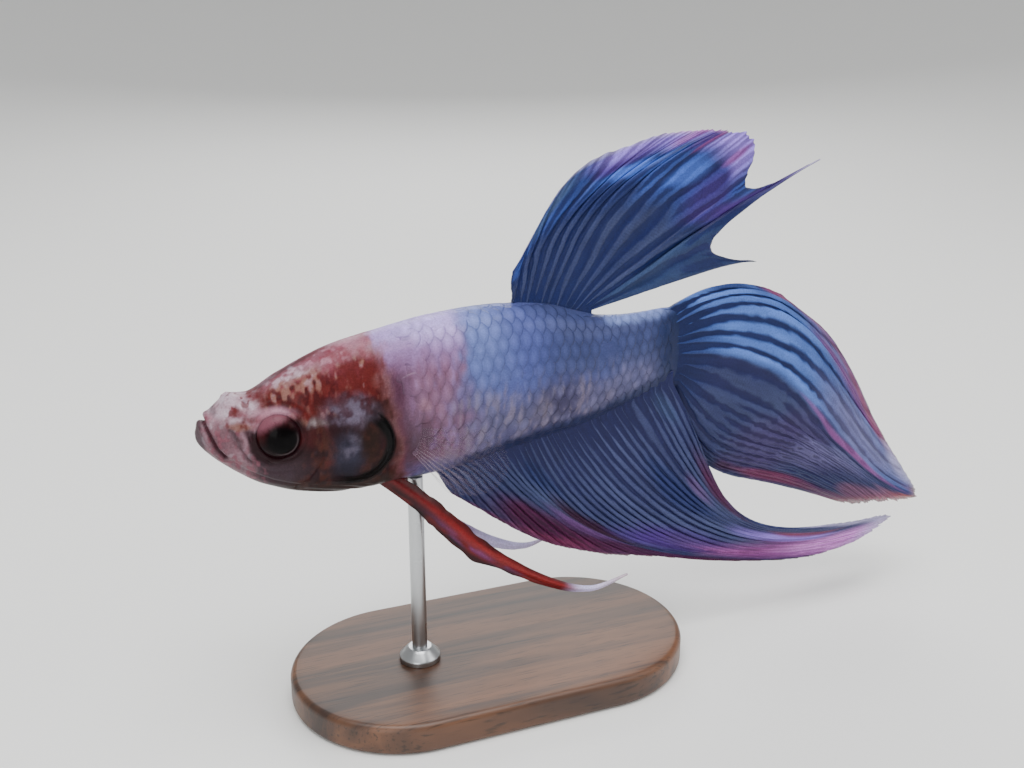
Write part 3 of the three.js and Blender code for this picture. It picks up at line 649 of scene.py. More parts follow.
def paint_trunk(p, c):
    """The flanks behind the head: rose and lavender in front, then blue, then a dark stalk."""
    x, z = p.wx, p.wz
    back = blend(STATIONS[:, 0], STATIONS[:, 1], p.x)
    belly = blend(STATIONS[:, 0], STATIONS[:, 2], p.x)
    p.lay(c.rose, np.ones(len(x)))
    p.lay(c.lavender, ease(z, 2.4, 6.0) * 0.9)
    # A painted highlight over the top of the back, where the light from above falls.
    p.lay(c.back_highlight, ease(z, 4.6, 6.6) * ease(x, 15.5, 18.0) * 0.5)
    p.lay(c.rose_white, p.spot(18.3, 0.5, 0.5, 0.5, 0.5) * 0.5)
    p.lay(c.deep_mauve, p.spot(18.6, -3.0, 2.2, 1.9, 0.8) * 0.45)
    p.lay(c.pale_grey, (1 - ease(z, -6.0, -3.4)) * ease(x, 17.5, 19.5) * 0.7)
    # Short upright streaks of pigment, pale and rose, over the shoulder.
    streak = noise(p.points * np.array([1 / 0.4, 1 / 1.2, 1 / 1.1]), 1.0, 61, 2)
    p.lay(c.lavender, ease(streak, 0.05, 0.45) * ease(x, 16.2, 18.8) * 0.4)
    p.lay(c.mauve_pink, ease(-streak, 0.1, 0.5) * (1 - ease(x, 21, 23)) * (1 - ease(z, 3, 6)) * 0.25)
    p.lay(c.deep_mauve, (1 - ease(x + 0.5 * streak, 15.6, 18.0)) * (1 - ease(z, 2.0, 5.0)) * 0.85)
    p.lay(c.grey_purple, p.spot(16.5, -2.8, 2.2, 3.0, 0.8) * 0.62)
    p.lay(c.slate_blue, p.spot(19.0, -5.7, 1.9, 0.8, 0.8) * 0.6)
    # The blue begins quickly high on the side and softly below.
    width = mix(2.6, 0.9, ease(p.z, 0.0, 3.5))
    blue = ease(x + 0.7 * streak, 22.1 - width, 22.1 + width)
    upper = ease(z, -2.0, 1.6)
    p.lay(c.grey_lavender, blue)
    p.lay(c.periwinkle, blue * upper * 0.95)
    p.lay(c.ice_blue_and_highlight, blue * ease(z, -1.0, 5.0) * (1 - ease(x, 23.5, 28.0)) * 0.4)
    p.lay(c.slate_blue, blue * ease(x, 27.5, 32.0) * ease(z, -0.6, 2.0) * 0.9)
    p.lay(c.dark_mauve, p.spot(31.6, -1.0, 2.4, 1.9, 0.8) * 0.75)
    p.lay(c.dark_mauve, blue * ease(x, 27.0, 30.0) * (1 - ease(z, -1.5, 1.5)) * 0.35)
    p.lay(c.sand, p.spot(29.3, -1.6, 0.8, 1.4, 0.7) * 0.45)
    p.lay(c.grey_lavender, p.spot(35.4, -1.2, 2.6, 1.2, 0.8) * 0.5)
    p.lay(c.slate_blue, ease(x, 36.0, 39.0) * 0.7)
    p.lay(c.grey_lavender, ease(x, 35.5, 38.0) * (1 - ease(z, 0.2, 2.4)) * (1 - ease(x, 41, 43)) * 0.6)
    # Pale and rose flecks stand upright over the low flank.
    p.lay(c.mist, blue * ease(streak, 0.0, 0.5) * (1 - ease(z, 0.0, 3.0)) * 0.55)
    rib = noise(p.points * np.array([1 / 0.34, 1, 1 / 1.5]), 1.0, 67, 2)
    low_flank = ease(x, 19.0, 22.0) * (1 - ease(x, 34.0, 38.0)) * (1 - ease(z, -0.5, 2.0))
    p.lay(c.pale_grey, low_flank * ease(rib, 0.05, 0.45) * 0.5)
    p.lay(c.dark_mauve, low_flank * ease(-rib, 0.1, 0.5) * 0.3)
    # The ridge of the back carries a painted highlight from the light above, nearly white in front and
    # white again behind the dorsal fin, and it is blue before the dorsal fin.
    ridge = ease(p.z - back + 0.25 * streak, -1.0, -0.25)
    p.lay(c.back_highlight, ridge * 0.45 * (1 - ease(x, 21.0, 24.0)))
    p.lay(c.ice_blue_and_highlight, ridge * ease(x, 35.6, 37.0) * 0.85)
    p.lay(c.slate_blue, ridge * ease(x, 27.0, 28.5) * (1 - ease(x, 34.8, 36.0)) * 0.5)
    # The end of the stalk is as dark as the tail fin's root, and the fin's rays begin on it.
    turned = p.x - 0.12 * (p.z - 1.7) ** 2
    p.lay(c.navy, ease(turned + 0.6 * streak, 39.8, 42.8) * 0.95)
    root = np.array(FINS["caudal_fin"].root)
    share = np.interp(-p.z, -root[:, 2], root[:, 0])
    band, _, _ = ray_bands(FINS["caudal_fin"], share, 0 * share)
    p.lay(c.slate_blue, band * ease(p.x, 43.4, 45.2) * (0.6 - 0.4 * ease(share, 0.3, 0.5)))
    base = ease(x, 20.0, 23.0) * (1 - ease(p.z - belly + 0.3 * streak, 0.9, 2.1))
    p.lay(c.navy_purple, base * 0.95)
    low = ease(x, 16.6, 18.0) * (1 - ease(x, 20.5, 22.5)) * (1 - ease(p.z - belly + 0.3 * streak, 0.8, 2.0))
    p.lay(c.slate_blue, low * 0.75)
    # Behind the gill cover the flesh is raw pink and red.
    p.lay(c.raw_red, p.spot(15.7, -4.9, 0.8, 1.5, 0.6) * 0.9 * ease(x, 14.8, 15.2))
    p.lay(c.raw_red, p.spot(15.9, -2.0, 0.6, 2.6, 0.8) * 0.45)


def paint_head(p, c):
    """The head: pale snout, brick-red crown, dark cheeks and a slate gill cover edged in black."""
    x, z = p.wx, p.wz
    streak = noise(p.points * np.array([1 / 0.35, 1 / 1.2, 1 / 1.4]), 1.0, 63, 2)
    head = 1 - ease(x + 0.12 * (p.z - 3) + 0.5 * streak, 13.9, 15.9)
    blotch = noise(p.points * np.array([1.15, 1, 0.7]), 1.0, 21, 2)
    grain = noise(p.points * np.array([1.2, 1, 0.8]), 0.42, 33, 2)
    fleck = noise(p.points, 0.5, 37, 2)
    p.lay(c.pink_white, head)
    p.lay(c.mauve_pink, head * ease(grain, -0.1, 0.35) * 0.6)
    p.lay(c.white, head * ease(fleck, 0.05, 0.4) * (1 - ease(x, 5, 8)) * 0.6)
    p.lay(c.crimson, head * ease(-fleck, 0.15, 0.45) * ease(z, -0.6, 0.4) * (1 - ease(x, 5, 7)) * 0.5)
    # The crown: brick-red blotches with tan and rose gaps, and the mauve nape above them.
    height = p.z - blend((4, 6.5, 10, 14.5), (1.5, 1.9, 3.0, 4.2), p.x)
    upper = head * ease(x, 4.9, 6.0)
    band = upper * (1 - ease(height + 0.6 * blotch + 0.3 * grain, 0.4, 1.3))
    p.lay(c.tan, band * 0.9)
    p.lay(c.pink_white, band * ease(fleck, 0.05, 0.4) * 0.5)
    red = ease(0.5 * blotch + 0.6 * grain + 0.7 * streak + 0.06 * (p.x - 10), -0.47, 0.0)
    p.lay(c.brick, band * red)
    p.lay(c.brick_dark, band * ease(0.6 * blotch + 0.8 * grain, 0.0, 0.35) * 0.85)
    nape = upper * ease(height + 0.6 * blotch, 0.4, 1.5)
    p.lay(c.mauve_pink, nape * 0.85)
    p.lay(c.crimson, nape * ease(blotch + 0.6 * grain + 0.12 * (p.x - 11), -0.3, 0.3) * 0.8)
    p.lay(c.crimson, head * p.spot(12.6, 4.1, 2.6, 1.0, 0.7) * ease(grain + 0.4 * fleck, -0.35, 0.2) * 0.65)
    p.lay(c.brick, head * p.spot(13.2, 3.4, 1.8, 1.1, 0.6) * ease(grain + 0.5 * blotch, -0.5, 0.0) * 0.9)
    p.lay(c.rose_white, nape * ease(fleck, 0.0, 0.4) * (1 - 0.45 * ease(x, 9, 12)) * 0.7)
    p.lay(c.white, head * p.spot(7.2, 3.5, 1.9, 0.75, 0.7) * ease(fleck, -0.1, 0.35) * 0.6)
    p.lay(c.crimson, head * p.spot(7.4, 3.3, 2.2, 0.9, 0.7) * ease(-fleck, 0.1, 0.4) * 0.5)
    p.lay(c.rose_white, head * p.spot(12.6, 5.9, 1.8, 0.6, 0.8) * 0.7)
    # Below the brow the head is dark: maroon and rust blotches under a grey veil. The maroon is partly the
    # skin's own colour and partly painted shade, since light from above leaves the lower head in shade.
    edge = blend((2.6, 4.4, 6.5, 9, 12, 15), (-1.6, -0.9, -0.4, 0.4, 1.2, 1.6), p.x)
    low = head * ease(edge - z + 0.35 * grain, -0.3, 0.35) * ease(x, 3.4, 4.6)
    p.lay(c.maroon_black, low * 0.97)
    p.lay(c.rust, low * ease(0.7 * blotch + 0.6 * grain, 0.05, 0.35) * ease(x, 6.6, 8.2) * 0.7)
    p.lay(c.grey_purple, low * p.spot(5.8, -3.9, 2.8, 1.3, 0.7) * 0.7)
    p.lay(c.grey_purple, low * ease(fleck, 0.2, 0.5) * 0.3)
    p.lay(c.chin, head * (1 - ease(z + 0.5 * p.x, -1.9, -0.7)) * (1 - ease(x, 3.0, 5.4)) * 0.8)
    p.lay(c.belly_grey, head * (1 - ease(p.z + 0.2 * grain, -6.3, -4.7)) * ease(p.x, 4.5, 7.0) * 0.75)
    # The snout: mauve lips, white bumps, and a few red freckles.
    snout = head * (1 - ease(x, 4.4, 5.8))
    p.lay(c.snout_mauve, snout * p.spot(2.2, -1.1, 1.2, 1.4, 0.7) * 0.8)
    p.lay(c.mauve_pink, snout * ease(grain, 0.0, 0.35) * 0.65)
    p.lay(c.snout_mauve, snout * ease(-blotch - 0.5 * fleck, 0.15, 0.5) * 0.45)
    p.lay(c.white, snout * (p.spot(2.9, 2.1, 0.75, 0.5) + 0.8 * p.spot(2.1, 1.2, 0.7, 0.7)) * 0.7)
    p.lay(c.white, snout * p.spot(4.1, 1.5, 0.7, 0.4) * 0.6)
    p.lay(c.tan, snout * p.spot(3.6, 0.0, 0.9, 0.4) * 0.8)
    p.lay(c.pink_white, snout * p.spot(3.8, -1.1, 0.3, 0.9) * 0.6)
    freckle = ease(0.4 * blotch + 1.1 * grain, 0.12, 0.42)
    p.lay(c.brick, snout * freckle * ease(x, 1.8, 2.8) * ease(z, -0.8, 0.2) * 0.7)
    p.lay(c.lip, head * (1 - ease(x, 0.5, 1.0)) * 0.85)
    for sx, sz, long, tall in ((3.3, 1.2, 0.3, 0.3), (4.6, 0.65, 0.36, 0.26), (5.2, 1.9, 0.6, 0.5),
                               (1.75, 1.75, 0.3, 0.4), (4.5, 2.3, 0.35, 0.25), (3.9, 0.6, 0.2, 0.2)):
        p.lay(c.brick, head * p.spot(sx, sz, long, tall, 0.8) * 0.8)
    p.lay(c.maroon_black, head * p.spot(1.6, 1.5, 0.3, 0.5, 0.6) * 0.6)
    # Painted shade along the cleft of the mouth and in the folds of the lip and cheek.
    p.lay(c.maroon_black, head * hill(from_line(p.x, p.z, MOUTH), 0.17) * 0.8)
    p.lay(c.maroon_black, head * hill(from_line(p.wx, p.wz, LIP_FOLD), 0.3) * 0.6)
    p.lay(c.maroon_black, head * hill(from_line(p.wx, p.wz, CHEEK_FOLD), 0.4) * 0.75)
    # A thin dark line runs over the forehead, from the nostrils to the nape.
    over = hill(p.y, 0.45) * ease(p.z, 1.5, 2.4) * ease(x, 4.8, 5.6) * (1 - ease(x, 9.0, 12.0))
    p.lay(c.maroon_black, head * over * 0.65)
    # Round the eye: a dark red ring, a pale brow and the silver spot behind it. The ring's dark lower part
    # is partly the skin's own colour and partly painted shade in the socket and over its raised rim.
    eye = eye_distance(p.points)
    p.lay(c.rose_white, head * p.spot(6.1, 0.95, 1.3, 0.36, 0.7) * 0.8)
    lid = 1 - ease(eye + 0.12 * grain, 1.95, 2.55)
    p.lay(c.maroon_black, head * lid * ease(0.6 - p.z + 0.25 * (p.x - 6.5), 0, 0.7) * 0.97)
    p.lay(c.eye_red, head * lid * p.spot(5.3, 0.4, 1.1, 0.7, 0.8) * 0.6)
    p.lay(c.brick_dark, head * p.spot(8.8, -1.2, 1.3, 0.9, 0.7) * 0.8)
    p.lay(c.brick, head * p.spot(8.9, 0.8, 0.5, 0.5, 0.8) * 0.8)
    p.lay(c.silver, head * p.spot(9.35, 0.0, 0.62, 0.36, 0.7) * 0.9)
    p.lay(c.rust, head * p.spot(9.7, -2.0, 0.6, 2.6, 0.8, 4) * ease(grain, -0.5, 0.3))
    p.lay(c.brick, head * p.spot(9.9, -1.4, 0.35, 2.4, 0.8, 4) * ease(fleck, -0.3, 0.4) * 0.6)
    # The gill cover.
    gill, free = gill_radius(p.x, p.z), gill_free_edge(p.x, p.z)
    p.lay(c.slate, head * p.spot(12.2, 0.5, 1.8, 1.1, 0.8) * 0.85)
    p.lay(c.slate_light, head * p.spot(12.2, 0.6, 1.8, 1.1, 0.8) * ease(fleck, -0.4, 0.3) * 0.85)
    p.lay(c.maroon_black, head * p.spot(12.2, 0.3, 1.8, 1.2, 0.8) * ease(-grain, 0.05, 0.5) * 0.4)
    p.lay(c.brick_dark, head * p.spot(11.3, 1.5, 0.8, 0.35, 0.8) * 0.7)
    p.lay(c.maroon_black, head * p.spot(11.0, -0.9, 1.1, 0.6, 0.8) * 0.8)
    p.lay(c.gill_blue, head * p.spot(11.6, -3.0, 1.3, 1.7, 0.5, 8) * 0.9)
    p.lay(c.dark_slate, head * p.spot(11.5, -2.9, 1.1, 1.4, 0.7, 8) * ease(-grain, -0.1, 0.5) * 0.6)
    p.lay(c.slate_light, head * p.spot(11.8, -2.4, 0.7, 0.9, 0.9) * ease(fleck, -0.5, 0.5) * 0.65)
    p.lay(c.dark_slate, head * p.spot(11.4, -4.5, 1.3, 0.8, 0.7) * 0.8)
    p.lay(c.olive, head * p.spot(13.5, -1.9, 0.8, 2.0, 0.6) * 0.9)
    p.lay(c.rust, head * p.spot(13.4, -1.6, 0.5, 1.2, 0.8) * ease(grain, 0.0, 0.4) * 0.5)
    flap = free * ease(gill + 0.07 * blotch, 0.7, 0.84) * (1 - ease(gill, 1.05, 1.12))
    p.lay(c.black, flap * ease(1.0 - p.z, 0, 1.4))
    p.lay(c.maroon_black, p.spot(14.6, 1.2, 0.5, 0.9, 0.7) * 0.5)


def paint_body(points, c):
    """The colour and the metal sheen of skin and coat at points of the fish."""
    p = Paint(points, c.rose)
    paint_trunk(p, c)
    paint_head(p, c)
    p.colour *= (1 + 0.1 * noise(points, 0.8, 41, 3) + 0.12 * noise(points, 0.3, 43, 2))[:, None]
    sheen = 0.02 + 0.08 * ease(p.x, 16, 24) * (1 - ease(p.x, 42, 45))
    sheen += 0.05 * p.spot(11.7, -2.6, 1.6, 2.2) + 0.15 * p.spot(9.35, 0.0, 0.7, 0.4)
    return np.clip(p.colour, 0, 1), sheen


# ---------------------------------------------------------------------------------------------
# Skin, scales and eyes
# ---------------------------------------------------------------------------------------------

FLESH = ("head", "lower_jaw", "gill_cover_left", "gill_cover_right", "trunk", "tail_stalk")

# How much of the bake map each scale's patch takes up.
SCALE_PATCH = 0.003

# How far the cornea bulges, as a share of the eyeball's depth.
CORNEA = 0.05


def build_skin(sizes, colours):
    """One closed skin over head and body, which nothing but the eyes and fins breaks."""
    surface = skin_surface(sizes.coat_depth, sizes.skin_rings, sizes.skin_sides)
    rings, sides = surface.points.shape[:2]
    ends = [surface.points[0].mean(0), surface.points[-1].mean(0)]
    points = np.concatenate([surface.points.reshape(-1, 3), ends])
    blocks = tube_faces(rings, sides)
    # The unwrap: rings along it and the turn round the body across it.
    around = np.concatenate([np.tile(np.arange(sides) / sides, rings), [0.5, 0.5]])
    along = np.concatenate([np.repeat((np.arange(rings) + 1) / (rings + 2), sides), [0.0, 1.0]])
    uv = []
    for block in blocks:
        v = around[block]
        v = np.where(v < v.max(1, keepdims=True) - 0.6, v + 1, v)
        uv.append(np.stack([along[block], v], -1).reshape(-1, 2))
    colour, sheen = paint_body(points, colours)
    add_piece("skin", points, listed(blocks), skin_material(), FLESH,
              {"paint": colour, "sheen": sheen}, np.concatenate(uv))


def scale_pitch_at(x, sizes):
    """The distance between the scales of a row, which are smaller towards head and tail."""
    return float(sizes.scale_pitch * blend((6, 12, 17, 36, 45), (0.72, 0.86, 1.0, 0.98, 0.75), x))


def scale_row_at(x, sizes):
    """The distance between the rows of scales."""
    return float(sizes.scale_row * blend((6, 12, 20, 30, 45), (0.62, 0.82, 1.0, 0.95, 0.72), x))


def scale_roots(sizes):
    """Where the scales of the right side root: x, arc length from the middle line, row, pitches."""
    first, last, rows_each_way = 6.3, 44.7, 8
    centres = [first]
    while centres[-1] < last:
        centres.append(centres[-1] + scale_pitch_at(centres[-1], sizes))
    roots = []
    for row in range(-rows_each_way, rows_each_way + 1):
        for x, following in zip(centres, centres[1:]):
            # Every other row is staggered by half a scale.
            root = mix(x, following, 0.5) if row % 2 else x
            apart = scale_row_at(root, sizes)
            roots.append((root, row * apart, row, scale_pitch_at(root, sizes), apart))
    return np.array(roots)


def scaled_here(points, arc, reach_up, reach_down):
    """True where scales grow: not on the snout, eye, gill flap, throat or the roots of the fins."""
    x, y, z = points[:, 0], np.abs(points[:, 1]), points[:, 2]
    gill, free = gill_radius(x, z), gill_free_edge(x, z)
    belly = blend(STATIONS[:, 0], STATIONS[:, 2], x)
    grows = (x > 15.9 - 0.35 * np.maximum(z - 2.5, 0)) & (x < 43.2)
    grows &= ~((gill < 1.1) & (free > 0.02))
    grows &= ~((x < 15.0) & (z < -4.6)) & ~((x < 10.0) & (z < -0.6)) & ~((x < 13.6) & (z < -6.2))
    grows &= np.hypot((x - 17.3) / 1.7, (z + 2.5) / 1.9) > 1
    grows &= ~((x > 26.6) & (x < 35.8) & (y < 0.62) & (z > 0))
    grows &= ~((x > 19.0) & (z - belly < 0.75))
    grows &= ~((z < 0) & (y < 0.5)) & (arc < reach_up + 0.25) & (arc > -reach_down)
    return grows


def build_scales(sizes, colours):
    """Thin bony plates in staggered rows, each rooted under the one in front."""
    surface = skin_surface(sizes.coat_depth, sizes.skin_rings, sizes.skin_sides)
    material = scale_material()
    roots = scale_roots(sizes)
    across, along = np.linspace(-1, 1, 11), np.linspace(0, 1, 10)
    p, q = np.meshgrid(across, along, indexing="ij")
    tip = 1 - 0.3 * np.abs(p) ** 2.2
    for word, side in SIDES:
        jitter = np.stack([scatter(roots[:, :3], 3 * k + side) for k in range(4)], -1) - 0.5
        x, arc = roots[:, 0] + 0.1 * jitter[:, 0], roots[:, 1] + 0.1 * jitter[:, 1]
        ring = np.interp(x, surface.x, np.arange(len(surface.x)))
        quarter = surface.sides // 4
        up = lookup(surface.arcs, ring, np.full(len(x), surface.zero + quarter), False)
        down = -lookup(surface.arcs, ring, np.full(len(x), surface.zero - quarter), False)
        middle, _, _, _ = on_skin(surface, x + 0.3 * roots[:, 3], arc)
        keep = scaled_here(middle, arc, up, down)
        x, arc, rows, jitter = x[keep], arc[keep], roots[keep], jitter[keep]
        pitch, row = rows[:, 3, None, None], rows[:, 4, None, None]
        on_head = 1 - ease(x, 14.6, 17.6)[:, None, None]
        size = 1 + 0.1 * jitter[:, 2, None, None]
        place_x = x[:, None, None] + pitch * size * (-0.85 + 1.75 * q * tip)
        narrow = 1 - 0.3 * (1 - q) ** 2
        place_arc = arc[:, None, None] + 0.76 * row * size * p * narrow
        points, normal, i, j = on_skin(surface, np.clip(place_x, 6.0, 45.3), place_arc)
        lift = sizes.scale_lift * mix(1.0, 0.12, on_head) * (1 + 0.3 * jitter[:, 3, None, None])
        height = lift * (-0.45 + 1.45 * q - 0.25 * p ** 2) - 0.1 * on_head
        top = points + normal * height[..., None]
        under = top - normal * sizes.scale_thickness
        mirror = np.array([1, side, 1])
        both = np.stack([top, under]) * mirror
        count = len(x)
        cells = len(across) * len(along)
        flat = both.reshape(-1, 3)
        faces = sheet_faces(count, len(across), len(along), side == LEFT)
        # The thin rim is shaded apart, so that it draws no dark line round the scale.
        smooth = np.arange(len(faces)) < 2 * count * (len(across) - 1) * (len(along) - 1)
        # Each scale has an upright light bar in the middle of its free part: a painted reflection of the
        # crystals under it.
        centre, _, _, _ = on_skin(surface, x + 0.35 * rows[:, 3], arc)
        own, sheen = paint_body(centre * mirror, colours)
        there, _ = paint_body((points * mirror).reshape(-1, 3), colours)
        colour = mix(np.repeat(own, cells, 0), there, 0.9)
        # Painted light and shade on each scale: the bar is lighter, the rest of the scale is painted darker
        # as the shade between overlapping scales, and the free rim a little lighter against the shadow that
        # falls there.
        tone = 0.84 + 0.4 * hill(p, 0.62) * hill(q - 0.7, 0.17) + 0.1 * ease(q, 0.86, 1.0)
        tone = mix(tone[None], 1.0, on_head * 0.9) * (1 + 0.16 * jitter[:, 2, None, None] * (1 - on_head))
        colour = np.clip(colour * tone.reshape(-1, 1), 0, 1)
        sheen = (sheen[:, None, None] * ease(q, 0.3, 0.7)).ravel()
        rings = 1.53 * np.hypot(q - 0.1, 0.55 * p) * pitch
        # A patch of the bake map for each scale, at its root's place on the skin's unwrap.
        root_u = i[:, len(across) // 2, 0]
        root_v = j[:, len(across) // 2, 0] % 1
        root_v = root_v if side == RIGHT else (1.0 - root_v) % 1
        u = root_u[:, None, None] + SCALE_PATCH * (q - 0.5)
        v = root_v[:, None, None] + SCALE_PATCH * side * p / 2
        uv = np.tile(np.stack([u, v], -1).reshape(-1, 2), (2, 1))
        layers = {"paint": np.tile(colour, (2, 1)), "sheen": np.tile(sheen, 2),
                  "ring": np.tile(rings.ravel(), 2)}
        add_piece(f"scales_{word}", flat, faces.tolist(), material, FLESH, layers,
                  uv[faces], smooth)


def build_eyes(colours):
    """Each eye is a flattened ball, a little proud of its socket."""
    material = eye_material()
    rings, sides = 64, 96
    polar = math.pi * (np.arange(rings) + 0.5) / rings
    turn = FULL_TURN * np.arange(sides) / sides
    out = np.cos(polar)[:, None] * np.ones(sides)
    forward = np.sin(polar)[:, None] * np.cos(turn)
    up = np.sin(polar)[:, None] * np.sin(turn)
    c = colours
    for word, side in SIDES:
        # A low bulge over the pupil, as the cornea makes.
        bulge = 1 + CORNEA * hill(np.sin(polar), 0.55)[:, None] * (np.cos(polar)[:, None] > 0)
        local = np.stack([forward * EYE.radius, out * EYE.depth * bulge, up * EYE.radius], -1)
        cos, sin = math.cos(EYE.turn), math.sin(EYE.turn)
        x = local[..., 0] * cos - local[..., 1] * sin
        y = local[..., 0] * sin + local[..., 1] * cos
        points = (np.stack([x, y, local[..., 2]], -1) + EYE.at) * np.array([1, side, 1])
        ends = np.array([EYE.at + EYE.depth * reach * np.array([-sin, cos, 0])
                         for reach in (1 + CORNEA, -1)]) * np.array([1, side, 1])
        every = np.concatenate([points.reshape(-1, 3), ends])
        # The pupil sits towards the rear of the eye as seen from the side, and melts into the iris.
        fx, fz = local[..., 0].ravel() - 0.25, local[..., 2].ravel() + 0.05
        radius = np.hypot(fx, fz)
        spokes = noise(np.stack([40 * np.arctan2(fz, fx) / FULL_TURN, radius * 0.8, 0 * fx], -1), 1.0, 5)
        colour = np.tile(np.array(c.iris), (len(fx), 1))

        def lay(what, share):
            colour[:] += (np.array(what) - colour) * np.clip(share, 0, 1)[:, None]

        rim = np.hypot(local[..., 0].ravel(), local[..., 2].ravel())
        lay(c.brick_dark, ease(fz - 0.45 * fx, 0.0, 1.2) * 0.6)
        lay(c.eye_red, ease(fz - 0.45 * fx, 0.95, 1.85) * 0.85)
        lay(c.black, ease(spokes, 0.0, 0.8) * 0.5)
        lay(c.black, (1 - ease(radius, 0.95, 1.55)) * 0.98)
        lay(c.silver, hill(radius - 1.28, 0.07) * ease(fx - fz, 0.4, 1.7) * 0.3)
        lay(c.maroon_black, ease(rim, 1.45, 1.7) * ease(1.2 - fz + fx, 0, 1))
        sheen = 0.1 * hill(radius - 1.3, 0.1)
        colour = np.concatenate([colour, [c.black, c.black]])
        sheen = np.concatenate([sheen, [0, 0]])
        blocks = tube_faces(rings, sides)
        if side == LEFT:
            blocks = [block[:, ::-1] for block in blocks]
        add_piece(f"eyeball_{word}", every, listed(blocks), material, (f"eye_{word}",),
                  {"paint": colour, "sheen": sheen})


# ---------------------------------------------------------------------------------------------
# Median fins
# ---------------------------------------------------------------------------------------------

def dorsal_sway(share, out):
    return 0.9 * out * out * np.sin(FULL_TURN * (0.9 * share + 0.1)) - 0.4 * out


def caudal_sway(share, out):
    ripple = 1.2 * out * out * np.sin(FULL_TURN * (1.15 * share + 0.05))
    return ripple + 1.5 * out * out + ease(share, 0.6, 1) * (0.42 + 0.4 * ease(out, 0, 0.3))


def anal_sway(share, out):
    ripple = 1.1 * out * out * np.sin(FULL_TURN * (1.2 * share + 0.45))
    return ripple - ease(share, 0.6, 1) * (0.42 + 0.4 * ease(out, 0, 0.3))


# Each fin is a fan of rays. A stop is the ray's share from front to rear and then its root or tip as
# x and z, or its angle where it leaves the body or arrives at its tip, or the reach of the curve's
# handle at its root or tip, or the width or first fork of its rays. A streamer is a ray that is drawn
# out to a point. sink is the way into the body, and per_ray is how many columns of faces a ray takes.
FINS = {
    "dorsal_fin": SimpleNamespace(
        root=((0, 27.6, 7.5), (0.5, 32.3, 6.5), (1, 35.2, 6.1)),
        tip=((0, 27.7, 10.3), (0.1, 33.3, 18.4), (0.2, 40.8, 21.3), (0.32, 46.0, 21.7), (0.45, 48.1, 21.4),
             (0.57, 48.6, 21.1), (0.67, 51.3, 20.4), (0.76, 50.7, 16.9), (0.9, 47.3, 11.6), (1, 47.7, 9.0)),
        leave=((0, 78), (0.33, 69), (0.66, 46), (1, 10)),
        arrive=((0, 75), (0.25, 29), (0.5, 19), (0.75, 33), (1, -21)),
        reach=((0, 0.36), (0.5, 0.38), (1, 0.46)),
        reach_tip=((0, 0.65), (0.5, 0.53), (1, 0.14)),
        streamers=((0.84, 11.2, 24, 0.085), (0.985, 5.2, -4, 0.05)),
        width=((0, 0.22), (1, 0.2)), fork=((0, 0.3), (1, 0.3)), split=((0, 0.85), (1, 0.85)),
        sway=dorsal_sway, sink=(0, -1), rays=12, per_ray=24, fray=0.014, feather=0.03),
    "caudal_fin": SimpleNamespace(
        root=((0, 43.3, 5.45), (0.3, 44.8, 2.1), (0.62, 44.6, -1.4), (1, 44.0, -2.2)),
        tip=((0, 56.1, 5.8), (0.077, 63.4, 0.1), (0.154, 70.0, -9.7), (0.231, 72.3, -12.9),
             (0.308, 75.5, -17.2), (0.385, 76.3, -18.9), (0.5, 74.4, -19.0), (0.75, 69.2, -18.8),
             (1, 66.8, -18.5)),
        leave=((0, 29.5), (0.154, 24), (0.308, 4), (0.462, -8.6), (0.615, -40.6), (0.8, -66), (1, -66)),
        arrive=((0, -4), (0.077, -21), (0.154, -30.5), (0.308, -23), (0.385, -21), (0.6, -38.6), (1, -24)),
        reach=((0, 0.59), (0.231, 0.52), (0.5, 0.41), (1, 0.51)),
        reach_tip=((0, 0.12), (0.231, 0.27), (0.5, 0.51), (1, 0.8)),
        streamers=(),
        width=((0, 0.33), (0.36, 0.33), (0.48, 0.3), (1, 0.3)),
        fork=((0, 0.26), (0.36, 0.24), (0.5, 0.03), (1, 0.03)),
        split=((0, 0.7), (0.36, 0.7), (0.48, 1.0), (1, 1.0)),
        sway=caudal_sway, sink=(-1, 0), rays=13, per_ray=24, fray=0.011, feather=0.08),
    "anal_fin": SimpleNamespace(
        root=((0, 20.3, -7.2), (0.3, 27.0, -5.7), (0.7, 35.8, -4.5), (1, 43.8, -1.8)),
        tip=((0, 21.9, -9.7), (0.08, 29.5, -15.2), (0.17, 35.9, -18.0), (0.27, 43.8, -19.9),
             (0.37, 52.7, -22.0), (0.47, 61.4, -23.4), (0.58, 68.3, -22.8), (0.74, 72.6, -20.4),
             (0.87, 68.7, -20.0), (1, 63.7, -19.7)),
        leave=((0, -20), (0.33, -67), (0.66, -57), (1, -59)),
        arrive=((0, -37), (0.17, -36), (0.33, -13), (0.47, -10), (0.6, 5), (0.74, 10), (1, 0)),
        reach=((0, 0.12), (0.33, 0.39), (0.66, 0.41), (1, 0.44)),
        reach_tip=((0, 0.32), (0.33, 0.33), (0.66, 0.4), (1, 0.58)),
        streamers=(),
        width=((0, 0.27), (1, 0.3)), fork=((0, 0.28), (1, 0.28)), split=((0, 0.9), (1, 0.9)),
        sway=anal_sway, sink=(0, 1), rays=34, per_ray=14, fray=0.02, feather=0.07),
}


# How fast a fin sinks into the body below its root, and how much longer a ray is than its chord.
FIN_SINK, RAY_CURVE = 24, 1.08


def heading(angle):
    """The direction in the fin's plane at an angle above level, in degrees."""
    return np.stack([np.cos(np.radians(angle)), np.sin(np.radians(angle))], -1)


def stops(table, share, column=1):
    """The value of a table of stops at a ray's share."""
    table = np.array(table, float)
    return blend(table[:, 0], table[:, column], share)


